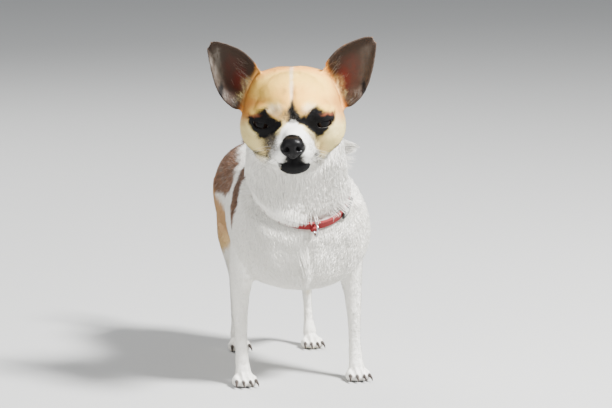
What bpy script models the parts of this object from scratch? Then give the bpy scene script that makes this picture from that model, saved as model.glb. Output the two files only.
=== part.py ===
"""A chihuahua standing square with its head turned to its right, at life size.

The head points along -Y, the animal's left is +X and the floor is z = 0.
Tables of stations hold millimetres, and MM turns them into Blender's metres.
"""

import math

import bmesh
import bpy
import numpy as np
from mathutils import Matrix, Vector

MM = 0.001
GAP = 0.3
SIDES = {"right": -1, "left": 1}

# Driving sizes of the body
WITHERS = 189
RUMP_TOP = 191
BRISKET = 78
CHEST_HALF = 58
LOIN_HALF = 45
RUMP_HALF = 44
CHEST_FRONT = -48
RUMP_REAR = 152
RUMP_X = -5

# Where the feet stand and the legs leave the body
FRONT_FOOT_X = {"right": -51.5, "left": 46}
FRONT_FOOT_Y = {"right": 0, "left": -3}
SHOULDER_X = {"right": -39, "left": 37}
HIND_FOOT_X = {"right": -22.5, "left": 43}
HIND_FOOT_Y = {"right": 138, "left": 133}
HIP_X = {"right": -27, "left": 17}
WRIST_CUT = 25
HOCK_CUT = 20
TOE_SPREAD = (-7.4, -2.7, 2.7, 7.4)

# The head in its own frame: -Y along the muzzle, origin at the middle of the skull
HEAD_PLACE = (-19, -45, 236)
HEAD_YAW = math.radians(-15)
HEAD_PITCH = math.radians(8)
HEAD_ROLL = math.radians(-1.2)
SKULL_SPREAD = 7
SKULL_RADII = (33, 38, 34.5)
NOSE_PLACE = (0, -59.5, -15.3)
NOSE_RADII = (9.4, 6.6, 8)
EYE_RADIUS = 9
EYE_X = 23.4
EYE_Y = -24.5
EYE_Z = -3
EYE_TURN = math.radians(16)
EYE_OPEN_WIDTH = 14.5
EYE_OPEN_HEIGHT = 7.6
EYE_SLANT = math.radians(14)
LID_THICKNESS = 1.3
MOUTH_Z = -31
MOUTH_CORNER_Y = -31
EAR_THICKNESS = 1.7

# The collar lies round the foot of the neck, in a plane that leans forward
COLLAR_CENTRE = (-4, -14, 166)
COLLAR_LEAN = math.radians(36.5)
COLLAR_HALF_WIDTH = 40
COLLAR_HALF_DEPTH = 44
COLLAR_BAND = 7
COLLAR_THICK = 2.4
RING_RADIUS = 5.4
RING_WIRE = 0.85
RING_OFF = 3.2
RING_TURN = math.radians(-88)
BUCKLE_TURNS = (math.radians(-47), math.radians(-19))

VOXEL = 1.15
BLEND = 22
FEET_BLEND = 5
NOSE_TRIANGLES = 480
TRIANGLES = {"body": 2000, "skull": 420, "feet": 1100, "face": 2000}

COLOURS = {
    "white_fur": ((0.83, 0.79, 0.70), 0.85, 0.0),
    "tan_fur": ((0.62, 0.38, 0.17), 0.85, 0.0),
    "dark_fur": ((0.05, 0.04, 0.035), 0.85, 0.0),
    "ear_skin": ((0.12, 0.07, 0.06), 0.8, 0.0),
    "nose_skin": ((0.012, 0.012, 0.014), 0.3, 0.0),
    "eye": ((0.02, 0.01, 0.008), 0.08, 0.0),
    "claw": ((0.09, 0.07, 0.06), 0.45, 0.0),
    "webbing": ((0.42, 0.02, 0.03), 0.7, 0.0),
    "buckle_plastic": ((0.015, 0.015, 0.016), 0.4, 0.0),
    "metal": ((0.62, 0.62, 0.60), 0.25, 1.0),
}


def clear_scene():
    for obj in list(bpy.data.objects):
        bpy.data.objects.remove(obj, do_unlink=True)


def material(name):
    found = bpy.data.materials.get(name)
    if found:
        return found
    colour, roughness, metallic = COLOURS[name]
    made = bpy.data.materials.new(name)
    made.use_nodes = True
    shader = made.node_tree.nodes["Principled BSDF"]
    shader.inputs["Base Color"].default_value = (*colour, 1)
    shader.inputs["Roughness"].default_value = roughness
    shader.inputs["Metallic"].default_value = metallic
    return made


def object_from(name, mesh):
    obj = bpy.data.objects.new(name, mesh)
    bpy.context.scene.collection.objects.link(obj)
    return obj


def from_bmesh(name, shape):
    bmesh.ops.recalc_face_normals(shape, faces=shape.faces[:])
    mesh = bpy.data.meshes.new(name)
    shape.to_mesh(mesh)
    shape.free()
    return object_from(name, mesh)


def bake(obj):
    """Applies the modifiers of an object."""
    graph = bpy.context.evaluated_depsgraph_get()
    mesh = bpy.data.meshes.new_from_object(obj.evaluated_get(graph))
    obj.modifiers.clear()
    old, obj.data = obj.data, mesh
    bpy.data.meshes.remove(old)
    return obj


def remove(*objects):
    for obj in objects:
        mesh = obj.data
        bpy.data.objects.remove(obj, do_unlink=True)
        bpy.data.meshes.remove(mesh)


def combine(obj, cutter, operation, solver="EXACT"):
    boolean = obj.modifiers.new(operation.title(), "BOOLEAN")
    boolean.operation = operation
    boolean.object = cutter
    boolean.solver = solver
    return bake(obj)


def copy_of(obj, name):
    return object_from(name, obj.data.copy())


def coordinates(mesh):
    points = np.empty(len(mesh.vertices) * 3)
    mesh.vertices.foreach_get("co", points)
    return points.reshape(-1, 3) / MM


def set_coordinates(mesh, points):
    mesh.vertices.foreach_set("co", (points * MM).ravel())
    mesh.update()


def smooth_stations(stations, steps=4):
    """Catmull-Rom rows through the stations, with steps rows to each span."""
    rows = np.array(stations, float)
    padded = np.vstack([2 * rows[0] - rows[1], rows, 2 * rows[-1] - rows[-2]])
    result = []
    for i in range(len(rows) - 1):
        a, b, c, d = padded[i : i + 4]
        for t in np.linspace(0, 1, steps, endpoint=False):
            result.append(
                0.5
                * (
                    2 * b
                    + (c - a) * t
                    + (2 * a - 5 * b + 4 * c - d) * t * t
                    + (3 * b - a - 3 * c + d) * t**3
                )
            )
    result.append(rows[-1])
    return np.array(result)


def skin_rings(name, rings):
    """A closed tube through rings of points in millimetres."""
    shape = bmesh.new()
    loops = [[shape.verts.new(Vector(p) * MM) for p in ring] for ring in rings]
    for low, high in zip(loops, loops[1:]):
        for i in range(len(low)):
            j = (i + 1) % len(low)
            shape.faces.new((low[i], low[j], high[j], high[i]))
    shape.faces.new(loops[0][::-1])
    shape.faces.new(loops[-1])
    bmesh.ops.triangulate(shape, faces=[f for f in shape.faces if len(f.verts) > 4])
    return from_bmesh(name, shape)


def ring_shape(sides, power):
    """Unit superellipse, as (across, along) pairs."""
    turns = np.linspace(0, 2 * math.pi, sides, endpoint=False)
    c, s = np.cos(turns), np.sin(turns)
    return np.sign(c) * abs(c) ** (2 / power), np.sign(s) * abs(s) ** (2 / power)


def barrel(name, stations, sides=40, power=2.3):
    """A body along Y. A station is (y, x, top, bottom, half width)."""
    across, along = ring_shape(sides, power)
    rings = []
    for y, x, top, bottom, half in smooth_stations(stations):
        middle, reach = (top + bottom) / 2, (top - bottom) / 2
        rings.append(
            np.column_stack(
                [x + half * across, np.full(sides, y), middle + reach * along]
            )
        )
    return skin_rings(name, rings)


def limb(name, stations, grow=0.0, sides=24, power=2.0, steps=4):
    """A tube along a path. A station is (x, y, z, half width, half depth)."""
    rows = smooth_stations(stations, steps)
    across, along = ring_shape(sides, power)
    tangents = np.gradient(rows[:, :3], axis=0)
    rings = []
    for row, tangent in zip(rows, tangents):
        forward = Vector(tangent).normalized()
        depth = forward.cross(Vector((1, 0, 0))).normalized()
        width = depth.cross(forward)
        rings.append(
            row[:3]
            + np.outer(across * (row[3] + grow), width)
            + np.outer(along * (row[4] + grow), depth)
        )
    return skin_rings(name, rings)


def ellipsoid(name, centre, radii, place=None, segments=32, rings=20, turn=None):
    shape = bmesh.new()
    bmesh.ops.create_uvsphere(shape, u_segments=segments, v_segments=rings, radius=MM)
    matrix = Matrix.Translation(Vector(centre) * MM)
    if turn:
        matrix = matrix @ turn
    matrix = matrix @ Matrix.Diagonal((*radii, 1))
    bmesh.ops.transform(shape, matrix=(place or Matrix()) @ matrix, verts=shape.verts)
    return from_bmesh(name, shape)


def box(name, centre, size, turn=None, place=None):
    shape = bmesh.new()
    bmesh.ops.create_cube(shape, size=MM)
    matrix = Matrix.Translation(Vector(centre) * MM) @ (turn or Matrix())
    matrix = (place or Matrix()) @ matrix @ Matrix.Diagonal((*size, 1))
    bmesh.ops.transform(shape, matrix=matrix, verts=shape.verts)
    return from_bmesh(name, shape)


def joined(name, objects):
    """One mesh holding the faces of all the objects, which are removed."""
    shape = bmesh.new()
    for obj in objects:
        shape.from_mesh(obj.data)
    mesh = bpy.data.meshes.new(name)
    shape.to_mesh(mesh)
    shape.free()
    remove(*objects)
    return object_from(name, mesh)


def islands(obj):
    """The loose closed surfaces of an object, as new objects. The object is removed."""
    shape = bmesh.new()
    shape.from_mesh(obj.data)
    shape.verts.ensure_lookup_table()
    seen, found = set(), []
    for start in shape.verts:
        if start in seen:
            continue
        group, queue = [], [start]
        seen.add(start)
        while queue:
            vert = queue.pop()
            group.append(vert)
            for edge in vert.link_edges:
                other = edge.other_vert(vert)
                if other not in seen:
                    seen.add(other)
                    queue.append(other)
        piece = bmesh.new()
        copies = {vert: piece.verts.new(vert.co) for vert in group}
        for face in {face for vert in group for face in vert.link_faces}:
            piece.faces.new([copies[vert] for vert in face.verts])
        mesh = bpy.data.meshes.new(obj.name)
        piece.to_mesh(mesh)
        piece.free()
        found.append(object_from(obj.name + "_piece", mesh))
    shape.free()
    remove(obj)
    return found


def volume(obj):
    shape = bmesh.new()
    shape.from_mesh(obj.data)
    size = abs(shape.calc_volume())
    shape.free()
    return size


def largest(obj):
    name = obj.name
    pieces = sorted(islands(obj), key=volume)
    remove(*pieces[:-1])
    pieces[-1].name = name
    return pieces[-1]


def split(obj, cutter, names, anchors):
    """Cuts an object in two with a thin sheet and names each side by its anchor."""
    combine(obj, cutter, "DIFFERENCE")
    remove(cutter)
    pieces = sorted(islands(obj), key=volume)
    remove(*pieces[:-2])
    pieces = pieces[-2:]
    if len(pieces) < 2:
        raise ValueError(f"the cut between {names} leaves one piece")
    result = {}
    for name, anchor in zip(names, anchors):
        away = [np.linalg.norm(coordinates(piece.data).mean(0) - anchor) for piece in pieces]
        nearest = pieces.pop(int(np.argmin(away)))
        nearest.name = name
        result[name] = nearest
    return [result[name] for name in names]


def head_matrix():
    turn = Matrix.Rotation(HEAD_YAW, 4, "Z") @ Matrix.Rotation(HEAD_PITCH, 4, "X")
    turn = turn @ Matrix.Rotation(HEAD_ROLL, 4, "Y")
    return Matrix.Translation(Vector(HEAD_PLACE) * MM) @ turn


def eye_matrix(side):
    """Eye frame: -Y looks out through the pupil, origin at the middle of the ball."""
    place = Vector((side * EYE_X, EYE_Y, EYE_Z)) * MM
    return (
        head_matrix()
        @ Matrix.Translation(place)
        @ Matrix.Rotation(side * EYE_TURN, 4, "Z")
        @ Matrix.Rotation(math.radians(2), 4, "X")
    )


def collar_matrix():
    """Collar frame: X across the neck, Y down its depth, Z along the neck."""
    place = Matrix.Translation(Vector(COLLAR_CENTRE) * MM)
    return place @ Matrix.Rotation(COLLAR_LEAN, 4, "X")


def torso_form():
    middle = (WITHERS + BRISKET) / 2
    stations = [
        (CHEST_FRONT, -1, middle + 4, middle - 24, 18),
        (CHEST_FRONT + 7, -1, middle + 24, BRISKET + 12, 38),
        (-28, -1, WITHERS - 16, BRISKET + 4, 50),
        (-8, -1, WITHERS - 6, BRISKET, CHEST_HALF - 1),
        (12, 0, WITHERS, BRISKET, CHEST_HALF),
        (36, -1, WITHERS, BRISKET + 2, CHEST_HALF - 4),
        (60, -2, WITHERS - 2, BRISKET + 7, CHEST_HALF - 8),
        (84, -4, RUMP_TOP - 4, BRISKET + 15, LOIN_HALF + 1),
        (108, RUMP_X, RUMP_TOP, BRISKET + 21, RUMP_HALF),
        (128, RUMP_X, RUMP_TOP - 4, BRISKET + 26, RUMP_HALF - 3),
        (RUMP_REAR - 9, RUMP_X, RUMP_TOP - 16, BRISKET + 36, RUMP_HALF - 11),
        (RUMP_REAR, RUMP_X, RUMP_TOP - 34, BRISKET + 52, 16),
    ]
    return barrel("torso_form", stations)


def neck_form():
    stations = [
        (-1, 20, 128, 48, 44),
        (-3, 0, 150, 46, 45),
        (-6, -12, 170, 43, 42),
        (-10, -22, 190, 43, 38),
        (-14, -28, 207, 42, 35),
        (-17, -32, 226, 34, 30),
    ]
    return limb("neck_form", stations, sides=36)


def front_leg_stations(side_name):
    foot, shoulder = FRONT_FOOT_X[side_name], SHOULDER_X[side_name]
    y = FRONT_FOOT_Y[side_name]

    def across(share):
        return shoulder + (foot - shoulder) * share

    return [
        (across(0.0), y + 6, 142, 16, 26),
        (across(0.4), y + 9, 114, 14.5, 22),
        (across(0.75), y + 9, 93, 11.5, 16),
        (across(0.95), y + 6, 76, 8.6, 10.5),
        (across(1.0), y + 3, 58, 6.9, 7.8),
        (across(1.0), y + 1, 42, 6.0, 6.6),
        (across(1.0), y, 30, 6.2, 6.5),
        (across(1.0), y - 3, 18, 6.0, 5.8),
        (across(1.0), y - 7, 9, 7.4, 6.2),
    ]


def hind_leg_stations(side_name):
    foot, hip = HIND_FOOT_X[side_name], HIP_X[side_name]
    y = HIND_FOOT_Y[side_name] - 138

    def across(share, out=0):
        return hip + (foot - hip) * share + SIDES[side_name] * out

    return [
        (across(0.0), 118, 156, 15, 28),
        (across(0.1, 3), 108, 130, 17, 31),
        (across(0.3, 6), 105, 106, 15, 26),
        (across(0.5, 5), 112 + y * 0.4, 88, 10.5, 16.5),
        (across(0.75, 2), 127 + y * 0.7, 69, 6.8, 10.5),
        (across(0.95), 142 + y, 53, 5.2, 8.6),
        (across(1.0), 144 + y, 40, 4.8, 6.4),
        (across(1.0), 141 + y, 25, 5.0, 5.4),
        (across(1.0), 136 + y, 12, 6.6, 6.0),
    ]


def paw_forms(name, x, y, size):
    """The pad and four toes of one foot."""
    forms = [ellipsoid(name, (x, y - 7 * size, 6.2), (8.6 * size, 11 * size, 6.6))]
    for spread in TOE_SPREAD:
        reach = 15.5 - 0.55 * abs(spread)
        forms.append(
            ellipsoid(
                name,
                (x + spread * size, y - reach * size, 4.6),
                (3.5 * size, 6.8 * size, 5.0),
                turn=Matrix.Rotation(math.radians(-1.6 * spread), 4, "Z"),
            )
        )
    return forms


def paw_places():
    """(node, x, y, size) of each foot, with y at the middle of the pastern."""
    for side_name in SIDES:
        yield (
            f"paw_front_{side_name}",
            FRONT_FOOT_X[side_name],
            FRONT_FOOT_Y[side_name],
            1.0,
        )
        yield (
            f"paw_hind_{side_name}",
            HIND_FOOT_X[side_name],
            HIND_FOOT_Y[side_name],
            0.94,
        )


def tail_form():
    stations = [
        (RUMP_X, 136, 168, 10, 10),
        (RUMP_X, 150, 179, 8.4, 8.6),
        (RUMP_X + 1, 160, 193, 7.2, 7.4),
        (RUMP_X + 3, 162, 208, 6.6, 6.8),
        (RUMP_X + 6, 155, 220, 6.0, 6.2),
        (RUMP_X + 10, 142, 225, 5.2, 5.4),
        (RUMP_X + 14, 127, 221, 4.2, 4.4),
        (RUMP_X + 17, 115, 212, 2.8, 3.0),
        (RUMP_X + 18, 110, 205, 1.3, 1.3),
    ]
    return limb("tail_form", stations, sides=20)


def head_forms():
    place = head_matrix()
    forms = [
        ellipsoid("forehead", (0, -15, 12), (30, 25.5, 23), place),
        ellipsoid("muzzle_root", (0, -36, -16), (18.5, 18, 15.5), place),
        ellipsoid("bridge", (0, -44, -10), (8.5, 18, 8), place),
        ellipsoid("chin", (0.5, -44, -33.5), (14.2, 13, 9), place),
        ellipsoid("nape", (0, 24, -14), (30, 17, 26), place),
        ellipsoid("throat", (0, -14, -25), (25, 30, 16), place),
    ]
    for side in SIDES.values():
        forms += [
            ellipsoid("skull", (side * SKULL_SPREAD, 0, 0.5), SKULL_RADII, place, 48, 32),
            ellipsoid("cheek", (side * 25, -7, -12), (18.6, 25, 23), place),
            ellipsoid("lip", (side * 8.3, -46, -21), (10.2, 15, 10.5), place),
            ellipsoid("brow", (side * 19, -27, 8), (12, 9.5, 8), place),
            ellipsoid(
                "lid",
                (side * EYE_X, EYE_Y, EYE_Z),
                [EYE_RADIUS + LID_THICKNESS + 0.4] * 3,
                place,
            ),
        ]
    return forms


def fused_body():
    """Every form of flesh but the ears, run together into one smooth closed surface."""
    forms = [torso_form(), neck_form(), tail_form(), *head_forms()]
    for side_name in SIDES:
        forms.append(limb("front_leg_form", front_leg_stations(side_name)))
        forms.append(limb("hind_leg_form", hind_leg_stations(side_name)))
    for name, x, y, size in paw_places():
        forms += paw_forms(name, x, y, size)
    body = joined("body", forms)
    remesh = body.modifiers.new("Remesh", "REMESH")
    remesh.mode = "VOXEL"
    remesh.voxel_size = VOXEL * MM
    bake(body)
    feet = coordinates(body.data)[:, 2] < 24
    for name, chosen, iterations in (("feet", feet, FEET_BLEND), ("flesh", ~feet, BLEND)):
        group = body.vertex_groups.new(name=name)
        group.add(np.flatnonzero(chosen).tolist(), 1.0, "REPLACE")
        blend = body.modifiers.new("Blend", "SMOOTH")
        blend.factor = 0.5
        blend.iterations = iterations
        blend.vertex_group = name
    bake(body)
    body.vertex_groups.clear()
    return body


def push(points, frame, centre, radii, move):
    """Moves the points round a place in a frame by a bell-shaped share of move."""
    inverse = np.array(frame.inverted())
    local = points @ inverse[:3, :3].T + inverse[:3, 3] / MM
    near = np.exp(-(((local - centre) / radii) ** 2).sum(1))
    turned = np.array(frame.to_3x3()) @ np.array(move, float)
    return points + near[:, None] * turned


def sculpt(points):
    """Folds and hollows of the head and body, worked into the fused surface."""
    head = head_matrix()
    points = push(points, head, (0, -41, 2), (7, 8, 7), (0, 3.5, -1))
    points = push(points, head, (0, -36, 18), (3, 12, 14), (0, 1.2, 0))
    points = push(points, head, (0, -59, -27), (1.6, 6, 6), (0, 2.2, 0))
    points = push(points, head, (0, -60, -38), (12, 8, 4), (0, 1.5, 1))
    for side in SIDES.values():
        points = push(points, head, (side * 12, -37, -7), (4.5, 7, 5), (0, 3, -1))
        points = push(points, head, (side * 23, -34, 5), (9, 7, 3), (0, -2.2, -1.6))
        points = push(points, head, (side * 22, -33, -14), (8, 7, 2.5), (0, 1.6, 0))
        points = push(points, head, (side * 21, -29, -33), (5, 7, 4), (-side * 2, 2, 0))
        points = push(points, head, (side * 43, -2, -36), (10, 16, 9), (-side * 3, 0, 0))
    body = Matrix()
    points = push(points, body, (0, -50, 118), (5, 12, 22), (0, -2.5, 0))
    for _, x, y, size in paw_places():
        for low, high in zip(TOE_SPREAD, TOE_SPREAD[1:]):
            middle = (low + high) / 2
            spot = (x + middle * size, y - (16.5 - 0.5 * abs(middle)) * size, 9)
            points = push(points, body, spot, (1.3, 6.5, 4.5), (0, 1.8, -2.2))
    for side in SIDES.values():
        points = push(points, body, (side * 24, -46, 100), (12, 14, 16), (0, 2.5, 0))
        points = push(points, body, (side * 60, 42, 118), (12, 9, 30), (-side * 3.5, 0, 0))
        points = push(points, body, (side * 50, 78, 122), (14, 10, 26), (-side * 3.5, 0, 0))
    return points


def pinch_for_collar(points):
    """Keeps the fur inside a groove round the collar."""
    inverse = np.array(collar_matrix().inverted())
    local = points @ inverse[:3, :3].T + inverse[:3, 3] / MM
    inner = np.array([COLLAR_HALF_WIDTH, COLLAR_HALF_DEPTH]) - 0.6 * COLLAR_THICK
    reach = np.hypot(local[:, 0] / inner[0], local[:, 1] / inner[1])
    beyond = np.maximum(abs(local[:, 2]) - 0.4 * COLLAR_BAND, 0)
    limit = 1 + 0.0055 * beyond**2
    near = (reach > limit) & (reach < 1.45) & (abs(local[:, 2]) < 14)
    local[near, :2] *= (limit[near] / reach[near])[:, None]
    matrix = np.array(collar_matrix())
    return local @ matrix[:3, :3].T + matrix[:3, 3] / MM


def lighten(body):
    """Fewer triangles, region by region, kept closest on the face and feet."""
    inverse = np.array(head_matrix().inverted())

    def regions():
        points = coordinates(body.data)
        local = points @ inverse[:3, :3].T + inverse[:3, 3] / MM
        head = (local[:, 2] > -42) & (points[:, 2] > 190)
        face = head & (local[:, 1] < -12) & (local[:, 2] < 22)
        feet = points[:, 2] < 30
        return {
            "body": ~(head | feet),
            "skull": head & ~face,
            "feet": feet,
            "face": face,
        }

    for name, target in TRIANGLES.items():
        inside = regions()[name]
        body.data.calc_loop_triangles()
        total = len(body.data.loop_triangles)
        corners = np.empty(total * 3, int)
        body.data.loop_triangles.foreach_get("vertices", corners)
        within = inside[corners.reshape(-1, 3)].all(1).sum()
        group = body.vertex_groups.new(name=name)
        group.add(np.flatnonzero(inside).tolist(), 1.0, "REPLACE")
        decimate = body.modifiers.new("Decimate", "DECIMATE")
        decimate.ratio = (total - within + target) / total
        decimate.vertex_group = name
        bake(body)
        body.vertex_groups.clear()
    return body


def ear_rows():
    """Edge curves of the left ear in the head frame: (x, y, z) of both edges and depth."""
    inner = [(22, 0, 24), (26, -5, 33), (34, -5, 44), (43, -2, 51), (59.5, 3, 56), (65.5, 6, 54.5)]
    outer = [(36, 2, -4), (45, -4, 1.5), (55, -4, 9.5), (62, -1, 21.5), (66.5, 3, 41.5), (68, 6, 50.5)]
    depth = [17, 17, 14, 10, 5, 1.5]
    rows = [(*a, *b, c) for a, b, c in zip(inner, outer, depth)]
    return smooth_stations(rows, 2)


def ear_form(side, across=8):
    """A cupped leaf with a thick root, open to the front."""
    place = head_matrix()
    front, back = [], []
    for row in ear_rows():
        inner, outer, depth = row[:3], row[3:6], row[6]
        for t in np.linspace(0, 1, across + 1):
            hollow = depth * (1 - (2 * t - 1) ** 2) ** 0.75
            point = inner + (outer - inner) * t
            front.append(point + np.array([-0.25 * hollow, hollow, 0]))
    count = across + 1
    grid = np.array(front).reshape(-1, count, 3)
    along = np.gradient(grid, axis=0)
    over = np.gradient(grid, axis=1)
    normal = np.cross(over, along)
    normal /= np.linalg.norm(normal, axis=2)[:, :, None]
    normal *= np.sign(normal[len(grid) // 2, count // 2, 1])
    share = np.linspace(1.35, 0.65, len(grid))[:, None, None]
    back = grid + normal * EAR_THICKNESS * share
    shape = bmesh.new()
    layers = []
    for layer in (grid, back):
        layer = layer * np.array([side, 1, 1])
        layers.append([[shape.verts.new(place @ (Vector(p) * MM)) for p in row] for row in layer])
    rows, last = len(grid) - 1, count - 1
    for verts in layers:
        for i in range(rows):
            for j in range(last):
                shape.faces.new((verts[i][j], verts[i][j + 1], verts[i + 1][j + 1], verts[i + 1][j]))
    near, far = layers
    for i in range(rows):
        for j in (0, last):
            shape.faces.new((near[i][j], near[i + 1][j], far[i + 1][j], far[i][j]))
    for j in range(last):
        for i in (0, rows):
            shape.faces.new((near[i][j], near[i][j + 1], far[i][j + 1], far[i][j]))
    return from_bmesh("ear_form", shape)


def grown(obj, gap=GAP):
    """A copy swollen by the gap along its vertex normals."""
    copy = copy_of(obj, obj.name + "_grown")
    normals = np.empty(len(copy.data.vertices) * 3)
    copy.data.vertices.foreach_get("normal", normals)
    set_coordinates(copy.data, coordinates(copy.data) + gap * normals.reshape(-1, 3))
    return copy


def carve(obj, tool, gap=GAP):
    """Makes room for a neighbour, which stays."""
    cutter = grown(tool, gap)
    combine(obj, cutter, "DIFFERENCE")
    remove(cutter)
    return obj


def band(name, turns, offset, thickness, height, count, closed=False):
    """A strip round the collar's oval between two turns, standing off its middle line."""
    frame = collar_matrix()
    rings = []
    edge = 0.28 * thickness
    profile = [
        (-thickness / 2, -height / 2 + edge),
        (-thickness / 2 + edge, -height / 2),
        (thickness / 2 - edge, -height / 2),
        (thickness / 2, -height / 2 + edge),
        (thickness / 2, height / 2 - edge),
        (thickness / 2 - edge, height / 2),
        (-thickness / 2 + edge, height / 2),
        (-thickness / 2, height / 2 - edge),
    ]
    for turn in np.linspace(*turns, count, endpoint=not closed):
        spot = np.array([COLLAR_HALF_WIDTH * math.cos(turn), COLLAR_HALF_DEPTH * math.sin(turn)])
        out = np.array([spot[0] / COLLAR_HALF_WIDTH**2, spot[1] / COLLAR_HALF_DEPTH**2])
        out /= np.linalg.norm(out)
        ring = []
        for away, up in profile:
            x, y = spot + out * (offset + away)
            ring.append(frame @ (Vector((x, y, up)) * MM) / MM)
        rings.append(ring)
    if not closed:
        return skin_rings(name, rings)
    shape = bmesh.new()
    loops = [[shape.verts.new(Vector(p) * MM) for p in ring] for ring in rings]
    for low, high in zip(loops, loops[1:] + loops[:1]):
        for i in range(len(low)):
            j = (i + 1) % len(low)
            shape.faces.new((low[i], low[j], high[j], high[i]))
    return from_bmesh(name, shape)


def ring_matrix():
    """Frame of the lead ring: its axis is Z, and it stands level, out from the collar's front."""
    wire = Vector((COLLAR_HALF_WIDTH * math.cos(RING_TURN), -COLLAR_HALF_DEPTH - RING_OFF, 0))
    level = Matrix.Rotation(-COLLAR_LEAN, 4, "X")
    place = Matrix.Translation(wire * MM) @ level @ Matrix.Translation(Vector((0, -RING_RADIUS, 0)) * MM)
    return collar_matrix() @ place @ Matrix.Rotation(math.radians(90), 4, "Y")


def ring_keeper(ring):
    """The fold of webbing that holds the ring, with a way through for its wire."""
    near = COLLAR_THICK / 2 + GAP
    far = RING_OFF + RING_WIRE + 1.1
    keeper = box(
        "ring_keeper",
        (COLLAR_HALF_WIDTH * math.cos(RING_TURN), -COLLAR_HALF_DEPTH - (near + far) / 2, 0),
        (5.6, far - near, 4.2),
        place=collar_matrix(),
    )
    carve(keeper, ring)
    return largest(keeper)


def collar_pieces():
    outside = COLLAR_THICK / 2 + GAP
    collar = band("collar", (0, 2 * math.pi), 0, COLLAR_THICK, COLLAR_BAND, 40, closed=True)
    buckle = band("buckle", BUCKLE_TURNS, outside + 1.2, 2.4, COLLAR_BAND + 1.6, 9)
    ring = torus("ring", ring_matrix(), RING_RADIUS, RING_WIRE)
    keeper = ring_keeper(ring)
    pieces = {"webbing": (collar, keeper), "buckle_plastic": (buckle,), "metal": (ring,)}
    for finish, objects in pieces.items():
        for obj in objects:
            obj.data.materials.clear()
            obj.data.materials.append(material(finish))
    return collar, buckle, ring, keeper


def torus(name, frame, radius, wire, around=24, sides=6):
    shape = bmesh.new()
    loops = []
    for turn in np.linspace(0, 2 * math.pi, around, endpoint=False):
        loop = []
        for roll in np.linspace(0, 2 * math.pi, sides, endpoint=False):
            reach = radius + wire * math.cos(roll)
            spot = Vector((reach * math.cos(turn), reach * math.sin(turn), wire * math.sin(roll)))
            loop.append(shape.verts.new(frame @ (spot * MM)))
        loops.append(loop)
    for low, high in zip(loops, loops[1:] + loops[:1]):
        for i in range(sides):
            j = (i + 1) % sides
            shape.faces.new((low[i], low[j], high[j], high[i]))
    return from_bmesh(name, shape)


def sheet(name, profile, width, place):
    """A bent sheet as thick as the gap, along a (y, z) profile and across X."""
    points = np.array(profile, float)
    steps = np.diff(points, axis=0)
    steps /= np.linalg.norm(steps, axis=1)[:, None]
    sides = np.column_stack([-steps[:, 1], steps[:, 0]])
    offsets = np.vstack([sides[:1], (sides[:-1] + sides[1:]) / 2, sides[-1:]])
    offsets /= (offsets * np.vstack([sides, sides[-1:]])).sum(1)[:, None]
    low, high = points - offsets * GAP / 2, points + offsets * GAP / 2
    outline = np.vstack([low, high[::-1]])
    shape = bmesh.new()
    faces = []
    for x in (-width / 2, width / 2):
        faces.append([shape.verts.new(place @ (Vector((x, y, z)) * MM)) for y, z in outline])
    count, total = len(points), len(outline)
    for i in range(total):
        j = (i + 1) % total
        shape.faces.new((faces[0][i], faces[0][j], faces[1][j], faces[1][i]))
    for verts in faces:
        for i in range(count - 1):
            shape.faces.new((verts[i], verts[i + 1], verts[total - 2 - i], verts[total - 1 - i]))
    return from_bmesh(name, shape)


def eye_opening(side):
    """The cutter of the slit between the lids, wide behind and true at the front."""
    frame = eye_matrix(side)
    half = EYE_OPEN_WIDTH / 2
    outline = []
    for x in np.linspace(-half, half, 9):
        outline.append((x, 0.42 * EYE_OPEN_HEIGHT * (1 - (x / half) ** 2) ** 0.8))
    for x in np.linspace(half, -half, 9)[1:-1]:
        outline.append((x, -0.58 * EYE_OPEN_HEIGHT * (1 - (x / half) ** 2) ** 0.7))
    c, s = math.cos(side * EYE_SLANT), math.sin(side * EYE_SLANT)
    rings = []
    for depth in (-3.5, -EYE_RADIUS - 9):
        rings.append(
            [frame @ (Vector((x * c - z * s, depth, x * s + z * c)) * MM) / MM for x, z in outline]
        )
    return skin_rings("eye_opening", rings)


def eye_ball(side_name):
    side = SIDES[side_name]
    frame = eye_matrix(side) @ Matrix.Rotation(math.radians(90), 4, "X")
    ball = ellipsoid(f"eye_{side_name}", (0, 0, 0), [EYE_RADIUS] * 3, frame, 16, 10)
    ball.data.materials.append(material("eye"))
    return ball


def nose_form():
    place = head_matrix()
    x, y, z = NOSE_PLACE
    forms = [
        ellipsoid("nose", NOSE_PLACE, NOSE_RADII, place),
        ellipsoid("nose", (x, y + 3, z + 3.2), (8.3, 7, 5.4), place),
        ellipsoid("nose", (x, y + 1, z - 5.2), (4.4, 5.5, 4.8), place),
    ]
    for side in SIDES.values():
        forms.append(ellipsoid("nose", (side * 5, y + 1, z - 0.5), (4.6, 6.4, 5.6), place))
    nose = joined("nose", forms)
    remesh = nose.modifiers.new("Remesh", "REMESH")
    remesh.mode = "VOXEL"
    remesh.voxel_size = 0.5 * MM
    blend = nose.modifiers.new("Blend", "SMOOTH")
    blend.factor, blend.iterations = 0.5, 12
    bake(nose)
    points = coordinates(nose.data)
    points = push(points, place, (0, y - 7, z - 7), (0.9, 5, 6.5), (0, 1.6, 0))
    for side in SIDES.values():
        points = push(points, place, (side * 3.9, y - 6, z - 0.6), (1.6, 5, 1.9), (0, 4.2, 0.4))
        points = push(points, place, (side * 6.6, y - 4, z - 1.6), (2.2, 5, 1.0), (-side * 0.6, 2.2, 0))
    set_coordinates(nose.data, points)
    decimate = nose.modifiers.new("Decimate", "DECIMATE")
    nose.data.calc_loop_triangles()
    decimate.ratio = NOSE_TRIANGLES / len(nose.data.loop_triangles)
    bake(nose)
    nose.data.materials.append(material("nose_skin"))
    return nose


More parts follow.
